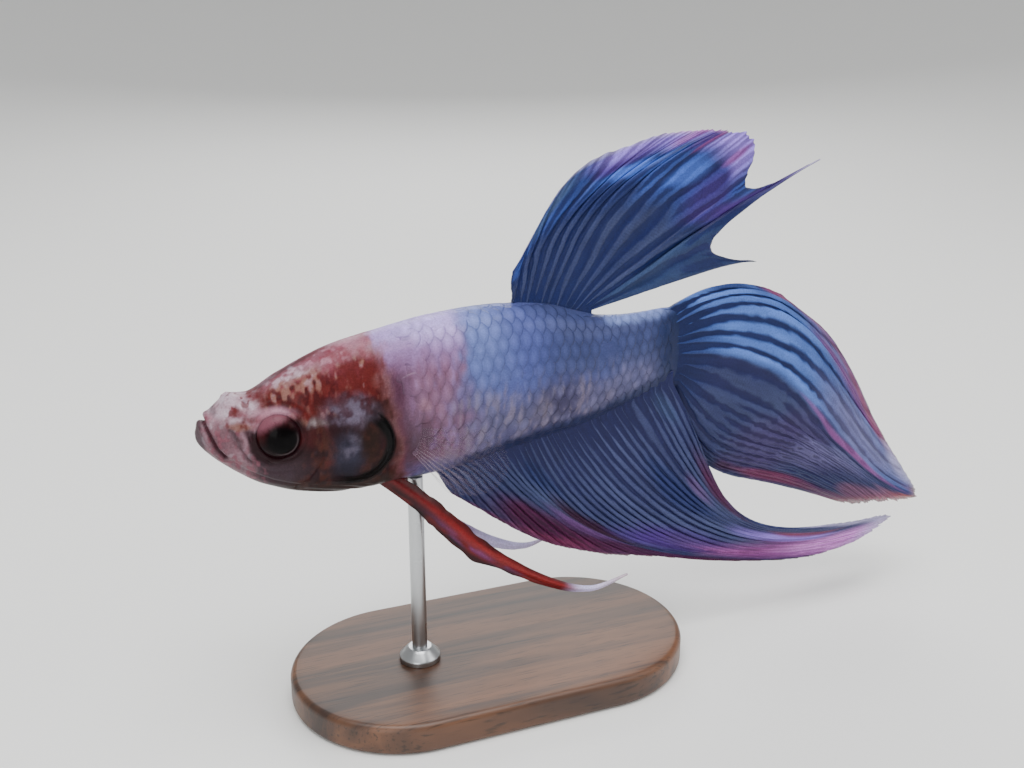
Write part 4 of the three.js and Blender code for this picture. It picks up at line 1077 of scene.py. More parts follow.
def fin_tips(fin, share):
    """The tips of the rays, with the streamers drawn out."""
    tip = np.stack([stops(fin.tip, share, 1), stops(fin.tip, share, 2)], -1)
    for at, length, angle, width in fin.streamers:
        pull = np.clip(1 - np.abs(share - at) / width, 0, 1) ** 2.6
        end = np.array([stops(fin.tip, at, 1), stops(fin.tip, at, 2)]) + length * heading(angle)
        tip = tip + (end - tip) * pull[..., None]
    return tip


def ray_bands(fin, share, out):
    """How much a place belongs to a ray, from 0 on the membrane to 1, as the rays fork outwards."""
    # The rays stand a little unevenly, and waver.
    crowd = 0.55 * noise(np.stack([share * fin.rays / 2.3, 0 * out, 0 * out], -1), 1.0, 14, 1)
    waver = 0.16 * noise(np.stack([share * fin.rays, 5 * out, 0 * out], -1), 1.0, 6, 2)
    phase = fin.rays * share + crowd + waver
    number = np.floor(phase)
    # The dark pigment beside a ray has a feathered edge. Its barbs are 0.3 mm apart, drawn 0.7 mm.
    feather = fin.feather * noise(np.stack([phase * 2.7, out * 48, 0 * out], -1), 1.0, 15, 1)
    t = np.abs(np.abs(phase - number - 0.5) + feather)
    odd = scatter(np.stack([number, 0 * number, 0 * number], -1), 9)
    start = stops(fin.fork, share) + 0.14 * odd
    first = ease(out, start, start + 0.3)
    second = ease(out, start + 0.32, start + 0.62)
    # Each ray shows from a point at its root, some nearer to the body than others.
    wide = stops(fin.width, share) * ease(out, 0.09 * odd - 0.08, 0.09 * odd + 0.1) + 0.001
    whole = 1 - ease(t, 0.5 * wide, 1.2 * wide)
    apart = np.abs(np.abs(t - 0.24 * first) - 0.11 * second)
    narrow = wide * (1 - 0.48 * first) * (1 - 0.42 * second)
    forked = 1 - ease(apart, 0.5 * narrow, 1.2 * narrow)
    return mix(whole, forked, stops(fin.split, share)), phase, odd


def fin_frame(fin, share, out):
    """Points of a median fin at a ray's share and a share of its length, before its thickness."""
    root = np.stack([stops(fin.root, share, 1), stops(fin.root, share, 2)], -1)
    tip = fin_tips(fin, share)
    length = np.linalg.norm(tip - root, axis=-1)
    first = root + heading(stops(fin.leave, share)) * (length * stops(fin.reach, share))[..., None]
    second = tip - heading(stops(fin.arrive, share)) * (length * stops(fin.reach_tip, share))[..., None]
    v = np.clip(out, 0, 1)[..., None]
    flat = (1 - v) ** 3 * root + 3 * (1 - v) ** 2 * v * first + 3 * (1 - v) * v * v * second + v ** 3 * tip
    sunk = np.clip(-out, 0, 1)[..., None] * FIN_SINK * np.array(fin.sink)
    return flat + sunk, length * RAY_CURVE


def build_median_fin(name, sizes, colours, paint):
    """A pleated veil of membrane with forked rays, thin and frayed along its margin."""
    fin = FINS[name]
    columns = fin.rays * fin.per_ray + 1
    rows = sizes.fin_quads // (2 * columns)
    u, v = np.meshgrid(np.linspace(0, 1, columns), np.linspace(0, 1, rows), indexing="ij")
    # Ray tips run past the membrane between them, and the margin is frayed by each fork.
    phase = fin.rays * u
    number = np.floor(phase)
    beyond = 0.5 + 0.5 * np.cos(FULL_TURN * (phase - 0.5))
    forks = 0.5 + 0.5 * np.cos(FULL_TURN * 4 * (phase - 0.5))
    worn = scatter(np.stack([number, number, 0 * number], -1), 4)
    wear = noise(np.stack([phase, 0 * phase, 0 * phase], -1), 0.31, 12, 2)
    full = 1 - fin.fray * (1.2 - 0.5 * beyond - 0.4 * forks) - fin.fray * (0.5 * worn + 0.6 * wear)
    out = -0.05 + (full + 0.05) * v
    flat, length = fin_frame(fin, u, out)
    band, phase, odd = ray_bands(fin, u, out)
    sway = fin.sway(u, np.clip(out, 0, 1))
    # The membrane is pleated between the rays, more so outwards.
    growing = ease(out, 0.0, 0.35)
    sway = sway + sizes.pleat * growing * np.cos(FULL_TURN * phase) * (1 - 0.5 * ease(out, 0.7, 1.0))
    ripple = noise(np.stack([u * 9, out * 2.2, 0 * u], -1), 1.0, 17, 2)
    sway = sway + 0.28 * ease(out, 0.45, 1.0) * ripple
    middle = np.stack([flat[..., 0] + SWING_BACK * sway, sway, flat[..., 1] - SWING_DOWN * sway], -1)
    normal = normals_of(middle)
    thin = mix(1.0, 0.45, ease(v, 0.75, 1.0))
    thick = mix(sizes.membrane, sizes.ray_thickness, band) * thin
    thick = thick + 0.3 * (1 - ease(out, 0.0, 0.08))
    front = middle - normal * thick[..., None] / 2
    rear = middle + normal * thick[..., None] / 2
    ragged = [noise(np.stack([u * 14, out * 5, 3.0 * k + 0 * u], -1), 1.0, 50 + k, 2) for k in (0, 1)]
    painting = paint(FinPaint(u, np.clip(out, 0, 1), band, odd, ragged), colours)
    # Pigment lies in short streaks along the rays.
    streak = noise(np.stack([phase * 5, out * length / 2.2, 0 * u], -1), 1.0, 8, 2)
    colour = np.clip(painting.colour * (1 + 0.2 * streak[..., None]), 0, 1)
    layers = {"solid": painting.solid, "sheen": painting.sheen, "ray": band, "reach": out * length}
    material = bpy.data.materials.get("betta_fin_membrane") or fin_material("betta_fin_membrane", 0.45, 0.1)
    add_sheet(f"{name}_veil", (front, rear), True, material, name, colour, layers, (u, v))


class FinPaint:
    """Colours laid over a fin, where u is the ray's share and v the share of its length."""

    def __init__(self, u, v, band, odd, ragged):
        self.u, self.v, self.band, self.odd = u, v, band, odd
        self.wu, self.wv = u + 0.018 * ragged[0], v + 0.07 * ragged[1]
        self.ragged = ragged[1]
        self.solid = np.ones(u.shape)
        self.sheen = 0.02 + 0.04 * band

    def start(self, dark, light, contrast):
        """The membrane's colour with the rays' over it, in rays of uneven strength."""
        share = self.band * contrast * (0.62 + 0.38 * self.odd) * (1 + 0.5 * self.ragged)
        self.colour = mix(dark, light, share[..., None])

    def lay(self, colour, share, relief=0.25):
        """A colour over rays and membrane, a little lighter on the rays."""
        toned = np.array(colour) * mix(1 - relief, 1 + relief, self.band)[..., None]
        self.colour = mix(self.colour, toned, np.clip(share, 0, 1)[..., None])

    def wash(self, colour, u, v, wide, tall, share, relief=0.25):
        """A soft ragged patch about a place, wide and tall being its half sizes."""
        away = np.hypot((self.wu - u) / wide, (self.wv - v) / tall)
        self.lay(colour, share * (1 - ease(away, 0.4, 1.2)), relief)


def shades(first, second, share):
    """One colour turning into another where share rises from 0 to 1."""
    return mix(np.array(first), np.array(second), np.clip(share, 0, 1)[..., None])


def paint_dorsal(p, c):
    light = shades(c.fin_slate, c.azure, ease(p.wv, 0.5, 0.7))
    light = shades(light, c.teal, ease(p.wu, 0.78, 0.86))
    p.start(shades(c.fin_navy, c.fin_shade, 0.4 * p.v), light, mix(0.7, 0.5, ease(p.v, 0.4, 0.6)))
    p.wash(c.teal, 0.9, 0.4, 0.08, 0.3, 0.5)
    p.wash(c.fin_navy, 0.3, 0.55, 0.3, 0.12, 0.6)
    p.wash(c.teal, 0.08, 0.85, 0.05, 0.16, 0.9)
    p.wash(c.azure, 0.32, 0.76, 0.12, 0.08, 0.9)
    p.wash(c.azure, 0.62, 0.77, 0.05, 0.1, 0.7)
    p.wash(c.fin_violet, 0.22, 0.86, 0.08, 0.06, 0.8)
    p.wash(c.fin_violet, 0.49, 0.93, 0.09, 0.09, 0.85)
    p.wash(c.fin_violet, 0.74, 0.75, 0.08, 0.2, 0.6)
    edge = ease(p.wv, 0.84, 0.95)
    p.lay(c.fin_lilac, edge * ease(p.wu, 0.1, 0.2) * (1 - ease(p.wu, 0.38, 0.46)) * 0.85, 0.4)
    p.lay(c.fin_lilac, edge * ease(p.wu, 0.55, 0.6) * (1 - ease(p.wu, 0.7, 0.76)) * 0.8, 0.4)
    p.lay(c.fin_violet, edge * ease(-p.ragged, 0.1, 0.5) * ease(p.wu, 0.15, 0.25) * 0.5)
    p.wash(c.magenta, 0.34, 0.94, 0.05, 0.05, 0.7)
    p.wash(c.magenta, 0.555, 0.94, 0.015, 0.1, 0.8)
    p.wash(c.magenta, 0.685, 0.93, 0.015, 0.09, 0.8)
    p.wash(c.fin_violet, 0.835, 0.8, 0.045, 0.34, 0.85)
    p.wash(c.tip_pale, 0.84, 1.0, 0.02, 0.08, 0.6)
    p.lay(c.tip_pale, ease(p.v, 0.95, 0.985) * (1 - ease(p.u, 0.28, 0.34)) * 0.4)
    p.lay(c.tip_pink, ease(p.v, 0.965, 0.99) * ease(p.u, 0.2, 0.3) * (1 - ease(p.u, 0.5, 0.6)) * 0.6)
    p.solid -= 0.3 * ease(p.v, 0.96, 1.0)
    return p


def paint_caudal(p, c):
    upper = 1 - ease(p.wu, 0.36, 0.43)
    light = shades(c.fin_slate, c.cornflower, upper * (1 - 0.45 * ease(p.v, 0.3, 0.6)))
    p.start(shades(c.fin_shade, c.fin_navy, upper), light, mix(0.7, 1.1, upper))
    p.lay(c.fin_navy, (1 - ease(p.v, 0.02, 0.12)) * 0.75)
    p.lay(c.fin_shade, ease(p.wu, 0.7, 0.8) * (1 - ease(p.wv, 0.25, 0.45)) * 0.5)
    p.wash(c.fin_navy, 0.02, 0.32, 0.05, 0.14, 0.7)
    p.wash(c.fin_haze, 0.31, 0.7, 0.09, 0.28, 0.75)
    p.wash(c.fin_haze, 0.56, 0.76, 0.12, 0.14, 0.5)
    p.wash(c.plum, 0.5, 0.55, 0.1, 0.12, 0.4)
    p.wash(c.plum, 0.66, 0.6, 0.16, 0.3, 0.55)
    p.wash(c.fin_haze, 0.6, 0.72, 0.2, 0.12, 0.35)
    p.wash(c.fin_rose, 0.16, 0.74, 0.075, 0.24, 0.9)
    p.lay(c.fin_crimson, ease(p.wv, 0.5, 0.66) * (1 - ease(p.wu, 0.03, 0.1)) * 0.85)
    p.wash(c.fin_crimson, 0.16, 0.93, 0.11, 0.12, 0.85)
    p.wash(c.magenta, 0.398, 0.68, 0.02, 0.24, 0.8)
    p.wash(c.plum, 0.84, 0.55, 0.1, 0.2, 0.5)
    p.wash(c.fin_maroon, 0.93, 0.5, 0.06, 0.12, 0.6)
    p.wash(c.fin_crimson, 0.92, 0.76, 0.07, 0.2, 0.75)
    p.lay(c.margin_pink, ease(p.wv, 0.9, 0.96) * ease(p.u, 0.3, 0.42) * 0.8)
    p.lay(c.tip_crimson, ease(p.v, 0.95, 0.985) * ease(p.u, 0.4, 0.5) * 0.7)
    p.wash(c.tip_red, 0.44, 0.97, 0.12, 0.05, 0.8)
    p.wash(c.tip_pale, 0.27, 0.95, 0.06, 0.08, 0.4)
    p.lay(c.tip_red, ease(p.v, 0.98, 1.0) * 0.4)
    p.solid -= 0.5 * ease(p.v, 0.95, 1.0)
    return p


def paint_anal(p, c):
    light = shades(c.fin_slate, c.steel_blue, ease(p.u, 0.38, 0.46))
    p.start(np.array(c.fin_shade), light, np.ones(p.u.shape))
    p.wash(c.fin_maroon, 0.15, 0.72, 0.11, 0.36, 0.9, 0.35)
    p.wash(c.fin_crimson, 0.1, 0.9, 0.12, 0.14, 0.5, 0.35)
    p.wash(c.fin_rose, 0.27, 0.55, 0.055, 0.2, 0.6)
    p.wash(c.fin_navy, 0.35, 0.15, 0.06, 0.12, 0.6)
    p.wash(c.dark_plum, 0.36, 0.42, 0.075, 0.18, 0.95)
    p.wash(c.fin_maroon, 0.3, 0.85, 0.14, 0.2, 0.8, 0.35)
    p.wash(c.fin_violet, 0.52, 0.5, 0.14, 0.16, 0.85)
    p.wash(c.tip_mauve, 0.58, 0.78, 0.16, 0.26, 0.95, 0.35)
    p.wash(c.plum, 0.56, 0.5, 0.07, 0.08, 0.6, 0.4)
    p.wash(c.tip_pink, 0.62, 0.9, 0.14, 0.2, 0.8)
    p.wash(c.fin_navy, 0.77, 0.3, 0.08, 0.16, 0.75)
    p.wash(c.fin_lilac, 0.77, 0.66, 0.07, 0.18, 0.85)
    p.wash(c.tip_crimson, 0.83, 0.76, 0.07, 0.12, 0.6)
    p.wash(c.tip_mauve, 0.87, 0.34, 0.03, 0.1, 0.15)
    p.wash(c.fin_maroon, 0.96, 0.45, 0.05, 0.25, 0.85)
    p.wash(c.teal, 0.935, 0.08, 0.03, 0.06, 0.5)
    p.lay(c.tip_pale, ease(p.v, 0.9, 0.98) * ease(p.u, 0.5, 0.7) * 0.7)
    p.lay(c.fin_crimson, ease(p.v, 0.95, 0.98) * (1 - ease(p.u, 0.4, 0.5)) * 0.5)
    p.solid -= 0.45 * ease(p.v, 0.94, 1.0)
    return p


# ---------------------------------------------------------------------------------------------
# Paired fins
# ---------------------------------------------------------------------------------------------

PELVIC = SimpleNamespace(
    root=(14.2, 0.9, -5.8),
    course=((0, 0, 0), (4.2, 1.05, -3.5), (9.2, 2.2, -8.4), (15.4, 3.15, -12.3), (19.4, 3.5, -13.5),
            (23.2, 3.6, -12.7)),
    width=((0, 1.9), (0.3, 2.3), (0.55, 1.6), (0.8, 0.9), (1, 0.22)), length=27,
    pair={"left": (1.0, 1.0), "right": (0.86, 0.94)})

PECTORAL = SimpleNamespace(
    root=((0, 16.9, -1.3), (1, 17.1, -3.7)), length=((0, 7.6), (0.35, 8.8), (1, 5.6)),
    angle=((0, -6), (1, -54)), out=3.75, flare=0.2, rays=11)


def build_pelvic_fins(colours):
    """Each pelvic fin is a long feeler: a stout red ray, thinner ones beside it, and torn dark
    membrane along the nearer half."""
    material = fin_material("betta_pelvic_feeler", 0.4, 0.25)
    columns, rows, start = 25, 181, -0.03
    c = colours
    for word, side in SIDES:
        along, down = PELVIC.pair[word]
        stop = np.array(PELVIC.course, float) * (along, 1, down)
        chord = np.linalg.norm(np.diff(stop, axis=0), axis=1) ** 0.5
        place = np.concatenate([[0], np.cumsum(chord)]) / chord.sum()
        across, share = np.meshgrid(np.linspace(0, 1, columns), np.linspace(start, 1, rows), indexing="ij")
        bx, by, bz = (blend(place, stop[:, k], share) for k in range(3))
        before = np.clip(share, None, 0)
        bx, bz = bx + before * 12, bz - before * 10
        tx, tz = np.gradient(bx, axis=1), np.gradient(bz, axis=1)
        size = np.hypot(tx, tz)
        nx, nz = -tz / size, tx / size
        width = stops(PELVIC.width, np.clip(share, 0, 1))
        torn = noise(np.stack([share * 26, 0 * share, side + 0 * share], -1), 1.0, 23, 2)
        flap = hill(share - 0.3, 0.09) * 0.5 + hill(share - 0.42, 0.05) * 0.75
        lower = -0.5 * width * (0.62 + 0.1 * torn * ease(share, 0.1, 0.3)) - 0.55 * flap
        upper = 0.5 * width * (0.9 + 0.14 * torn * (1 - ease(share, 0.4, 0.6)))
        offset = mix(lower, upper, across)
        stout = hill(offset - 0.14 * width, 0.21 * width + 0.03)
        second = hill(offset + 0.22 * width, 0.1 * width + 0.02) * (1 - ease(share, 0.6, 0.9))
        third = hill(offset - 0.42 * width, 0.07 * width + 0.02) * (1 - ease(share, 0.3, 0.5))
        ray = np.clip(stout + 0.6 * second + 0.6 * third, 0, 1)
        x = PELVIC.root[0] + bx + nx * offset
        y = (PELVIC.root[1] + by + 0.12 * np.sin(offset * 2.5 + share * 9))
        z = PELVIC.root[2] + bz + nz * offset
        middle = np.stack([x, side * y, z], -1)
        edge = np.minimum(across, 1 - across)
        round_edge = np.sqrt(ease(edge, -0.01, 0.16))
        thick = mix(0.1, 0.54, stout) + 0.1 * second
        thick = np.maximum(thick * round_edge * mix(1, 0.45, ease(share, 0.7, 1)), 0.04)
        shift = np.zeros_like(middle)
        shift[..., 1] = thick / 2
        colour = shades(c.feeler_dark, c.feeler_red, ray * mix(0.45, 1.0, ease(share, 0.05, 0.35)))
        colour = shades(colour, c.feeler_bright, stout * hill(share - 0.5, 0.3) * 0.5)
        ragged = noise(np.stack([offset * 1.6, share * 20, side + 0 * share], -1), 1.0, 71, 2)
        dark = (1 - stout) * (1 - ease(share, 0.52, 0.62)) * ease(ragged, -0.5, 0.3)
        colour = shades(colour, c.black, dark * 0.9)
        glint = hill(offset + 0.12 * width, 0.12 * width + 0.02) * hill(share - 0.4, 0.12)
        colour = shades(colour, c.tip_mauve, glint * ease(ragged, -0.4, 0.3) * 0.5)
        pale = ease(share, 0.7, 0.82) if side == LEFT else ease(share, 0.42, 0.62)
        tip = shades(c.tip_pale, c.white, ease(share, 0.8, 1.0))
        if side == RIGHT:
            colour = shades(colour, c.tip_mauve, ease(share, 0.3, 0.45) * 0.6)
        colour = mix(colour, tip, pale[..., None])
        streak = noise(np.stack([offset * 7, share * 30, 0 * share], -1), 1.0, 29, 2)
        colour = np.clip(colour * (1 + 0.16 * streak[..., None]), 0, 1)
        layers = {"solid": np.ones_like(ray), "sheen": np.full_like(ray, 0.02), "ray": ray,
                  "reach": share * PELVIC.length}
        add_sheet(f"pelvic_feeler_{word}", (middle - shift, middle + shift), True, material,
                  f"pelvic_fin_{word}", colour, layers, (across, (share - start) / (1 - start)))


def build_pectoral_fins(colours):
    """Each pectoral fin is a small clear fan folded back along the flank, with fine branched rays."""
    material = fin_material("betta_pectoral_clear", 0.3, 0.4)
    columns, rows, start = PECTORAL.rays * 12 + 1, 61, -0.12
    u, v = np.meshgrid(np.linspace(0, 1, columns), np.linspace(start, 1, rows), indexing="ij")
    phase = PECTORAL.rays * u
    t = phase - np.floor(phase) - 0.5
    fork = ease(v, 0.45, 0.8)
    ray = np.clip(hill(np.abs(t) - 0.2 * fork, 0.15), 0, 1)
    rounded_off = 1 - 0.16 * (2 * np.abs(u - 0.45)) ** 3 - 0.02 * (1 - ray) * ease(v, 0.5, 1.0)
    distance = stops(PECTORAL.length, u) * v * np.where(v > 0, rounded_off, 1)
    line = heading(stops(PECTORAL.angle, u))
    x = stops(PECTORAL.root, u, 1) + line[..., 0] * distance
    z = stops(PECTORAL.root, u, 2) + line[..., 1] * distance
    cup = 0.25 * np.sin(math.pi * u) * ease(v, 0.0, 0.6)
    cup += 0.05 * np.cos(FULL_TURN * phase) * ease(v, 0, 0.5)
    for word, side in SIDES:
        y = side * (PECTORAL.out + PECTORAL.flare * distance + cup)
        thick = mix(0.06, 0.16, ray) * mix(1, 0.5, ease(v, 0.6, 1.0)) + 0.15 * (1 - ease(v, -0.05, 0.12))
        shift = np.stack([0 * x, thick / 2, 0 * x], -1)
        middle = np.stack([x, y, z], -1)
        colour = shades(colours.clear_membrane, colours.clear_ray, ray)
        colour = shades(colours.rose, colour, ease(v, -0.05, 0.2))
        # The rays are creamy over the lower half near the root, and fade outwards.
        seen = mix(0.1, 0.36, ease(u, 0.5, 0.8)) * (1 - 0.8 * ease(v, 0.3, 0.95))
        solid = mix(0.02, seen, ray) + 0.5 * (1 - ease(v, -0.02, 0.12))
        layers = {"solid": solid, "sheen": np.full_like(ray, 0.02), "ray": ray, "reach": distance}
        add_sheet(f"pectoral_fan_{word}", (middle - shift, middle + shift), False, material,
                  f"pectoral_fin_{word}", colour, layers, (u, (v - start) / (1 - start)))


# ---------------------------------------------------------------------------------------------
# The stand, which is sized by the CAD nodes that it replaces
# ---------------------------------------------------------------------------------------------

def add_turned(name, rings, centre, ends, material, node):
    """A closed piece of the stand: rings of points in metres round a centre, with a low and a high
    end on its axis."""
    ends = np.array([(*centre, height) for height in ends])
    points = np.concatenate([rings.reshape(-1, 3), ends]) / MM - ORIGIN
    add_piece(name, points, listed(tube_faces(*rings.shape[:2])), material, (node,))


def lathe(name, centre, profile, sides, material, node):
    """A turned piece: profile lists radius and height in metres, from the axis to the axis."""
    turn = FULL_TURN * np.arange(sides) / sides
    rings = np.array([[(centre[0] + r * math.cos(a), centre[1] + r * math.sin(a), h) for a in turn]
                      for r, h in profile[1:-1]])
    add_turned(name, rings, centre, (profile[0][1], profile[-1][1]), material, node)


def bevelled(corners, radius, steps=6):
    """A profile with each inner corner rounded by radius."""
    made = [corners[0]]
    for before, at, after in zip(corners, corners[1:], corners[2:]):
        a, b, c = (np.array(p, float) for p in (before, at, after))
        first, second = (a - b) / np.linalg.norm(a - b), (c - b) / np.linalg.norm(c - b)
        for k in range(steps + 1):
            s = k / steps
            made.append(tuple(b + radius * ((1 - s) ** 2 * first + s ** 2 * second)))
    return made + [corners[-1]]


def build_stand(sizes, colours):
    """The walnut base, an oval of two half circles and straight sides, and its steel rod and collar."""
    low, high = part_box("stand_base")
    middle = (low + high) / 2
    half_long, half_deep = (high.x - low.x) / 2, (high.y - low.y) / 2
    straight = half_long - half_deep
    edge = sizes.base_edge * MM
    sides, steps = 160, 8
    bend = np.linspace(0, math.pi / 2, steps + 1)
    inner = [1.2 * MM, 4 * MM, 7.5 * MM]
    profile = [(inset, low.z) for inset in reversed(inner)]
    profile += [(edge * (1 - math.sin(a)), low.z + edge * (1 - math.cos(a))) for a in bend]
    profile += [(edge * (1 - math.cos(a)), high.z - edge * (1 - math.sin(a))) for a in bend]
    profile += [(inset, high.z) for inset in inner]
    turn = FULL_TURN * (np.arange(sides) + 0.5) / sides
    rings = []
    for inset, height in profile:
        radius = half_deep - inset
        x = middle.x + radius * np.cos(turn) + straight * np.sign(np.cos(turn))
        y = middle.y + radius * np.sin(turn)
        rings.append(np.stack([x, y, np.full(sides, height)], -1))
    add_turned("stand_base_walnut", np.array(rings), (middle.x, middle.y), (low.z, high.z),
               walnut_material(colours), "stand_base")

    steel = steel_material(colours)
    low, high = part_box("stand_rod")
    centre = ((low.x + high.x) / 2, (low.y + high.y) / 2)
    radius = (high.x - low.x) / 2
    profile = bevelled([(0, low.z), (radius, low.z), (radius, high.z), (0, high.z)], 0.1 * MM)
    lathe("stand_rod_steel", centre, profile, 64, steel, "stand_rod")
    low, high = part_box("stand_collar")
    wide = (high.x - low.x) / 2
    tall = high.z - low.z
    profile = bevelled([(0, low.z), (wide, low.z), (wide, low.z + 0.38 * tall),
                        (0.66 * wide, high.z - 0.12 * tall), (0.56 * wide, high.z), (0, high.z)], 0.1 * MM)
    lathe("stand_collar_steel", centre, profile, 96, steel, "stand_collar")


# ---------------------------------------------------------------------------------------------
# Floor, lights and camera
# ---------------------------------------------------------------------------------------------

def add_light(name, at, aim, size, power):
    """A white softbox at a place, turned to its aim, with its power in watts."""
    data = bpy.data.lights.new(name, "AREA")
    data.shape = "RECTANGLE"
    data.size, data.size_y = size
    data.energy = power
    light = bpy.data.objects.new(name, data)
    light.location = at
    light.rotation_mode = "QUATERNION"
    light.rotation_quaternion = (Vector(aim) - Vector(at)).to_track_quat("-Z", "Y")
    bpy.context.scene.collection.objects.link(light)


def build_floor(colours):
    """A round floor that sweeps up into a wall all round, so that no edge of it ever shows."""
    flat, wall, rise, top, sides = 0.3, 0.95, 0.5, 0.7, 96
    profile = [(0.0001, 0.0), (0.15, 0.0), (flat, 0.0)]
    for bend in np.linspace(0, math.pi / 2, 17)[1:]:
        profile.append((flat + (wall - flat) * math.sin(bend), rise * (1 - math.cos(bend))))
    profile.append((wall, top))
    turn = FULL_TURN * np.arange(sides) / sides
    points = np.array([[(r * math.cos(a), r * math.sin(a), h) for a in turn] for r, h in profile])
    mesh = bpy.data.meshes.new("studio_floor")
    mesh.from_pydata(points.reshape(-1, 3).tolist(), [], grid_faces(1, len(profile), sides, True).tolist())
    mesh.polygons.foreach_set("use_smooth", np.full(len(mesh.polygons), True))
    mesh.materials.append(floor_material(colours))
    floor = bpy.data.objects.new("studio_floor", mesh)
    bpy.context.scene.collection.objects.link(floor)


def build_lights(sizes, colours):
    """Four soft boxes aimed a little above the middle of the fish, and an even light from all round."""
    low, high = CAD_BOX
    middle = (low + high) / 2
    aim = Vector((middle.x, middle.y, 0.6 * high.z))
    add_light("top_softbox", aim + Vector((-0.03, -0.05, 0.36)), aim, (0.34, 0.26), sizes.top_light)
    add_light("front_softbox", aim + Vector((-0.26, -0.34, 0.14)), aim, (0.22, 0.3), sizes.front_light)
    add_light("right_fill", aim + Vector((0.36, -0.2, 0.3)), aim, (0.25, 0.25), sizes.fill_light)
    add_light("rear_softbox", aim + Vector((0.12, 0.36, 0.2)), aim, (0.3, 0.2), sizes.rear_light)
    world = bpy.context.scene.world or bpy.data.worlds.new("studio")
    bpy.context.scene.world = world
    world.use_nodes = True
    sky = world.node_tree.nodes["Background"]
    sky.inputs["Color"].default_value = (*colours.sky, 1)
    sky.inputs["Strength"].default_value = sizes.sky_strength


def build_camera():
    """The camera looks down on the fish's left side from a little in front of it."""
    azimuth, elevation, distance = math.radians(-22), math.radians(18), 0.1
    target = Vector(framed([[27.6, 0, 0]])[0])
    back = Vector((math.sin(azimuth) * math.cos(elevation), -math.cos(azimuth) * math.cos(elevation),
                   math.sin(elevation)))
    data = bpy.data.cameras.new("studio_camera")
    data.sensor_width, data.lens = 36.0, 39.58
    data.clip_start, data.clip_end = 0.002, 10
    camera = bpy.data.objects.new("studio_camera", data)
    camera.location = target + back * distance
    camera.rotation_mode = "QUATERNION"
    camera.rotation_quaternion = (-back).to_track_quat("-Z", "Y")
    bpy.context.scene.collection.objects.link(camera)
    bpy.context.scene.camera = camera


# ---------------------------------------------------------------------------------------------
# The add-on
# ---------------------------------------------------------------------------------------------

def size_of(name, default, description, **limits):
    return FloatProperty(name=name, description=f"{description}, in millimetres", default=default,
                         min=0.0, precision=3, **limits)


def power_of(name, default, description):
    return FloatProperty(name=name, description=description, default=default, min=0.0, unit="POWER")


def colour_of(name, code, description):
    return FloatVectorProperty(name=name, description=description, subtype="COLOR", size=3, min=0.0,
                               max=1.0, default=linear(code))


class BETTA_PG_sizes(bpy.types.PropertyGroup):
    """Sizes that a user would change."""
    coat_depth: size_of("Coat depth", 0.08, "How far the skin lies inside the body's outline")
    skin_rings: IntProperty(name="Skin rings", description="Rings of the skin's mesh", default=400, min=50)
    skin_sides: IntProperty(name="Skin sides", description="Sides of the skin's mesh", default=224, min=48)
    scale_pitch: size_of("Scale pitch", 1.0, "Distance between the scales of a row")
    scale_row: size_of("Scale rows", 1.36, "Distance between rows of scales")
    scale_lift: size_of("Scale lift", 0.02, "How far a scale's free edge stands out")
    scale_thickness: size_of("Scale thickness", 0.011, "Thickness of a scale")
    membrane: size_of("Membrane", 0.14, "Thickness of the fin membrane")
    ray_thickness: size_of("Ray thickness", 0.3, "Thickness of a fin over its rays")
    pleat: size_of("Pleat", 0.09, "How deeply the membrane is pleated between the rays")
    fin_quads: IntProperty(name="Fin faces", description="Faces of a fin's mesh", default=95000, min=9000)
    base_edge: size_of("Base edge", 0.6, "Radius of the rounded edge of the base")
    top_light: power_of("Top light", 1.9, "Power of the softbox overhead")
    front_light: power_of("Front light", 0.72, "Power of the softbox in front")
    fill_light: power_of("Fill light", 0.5, "Power of the fill on the right")
    rear_light: power_of("Rear light", 0.72, "Power of the softbox behind")
    sky_strength: FloatProperty(name="Ambient", description="Strength of the even light", default=0.43,
                                min=0.0)


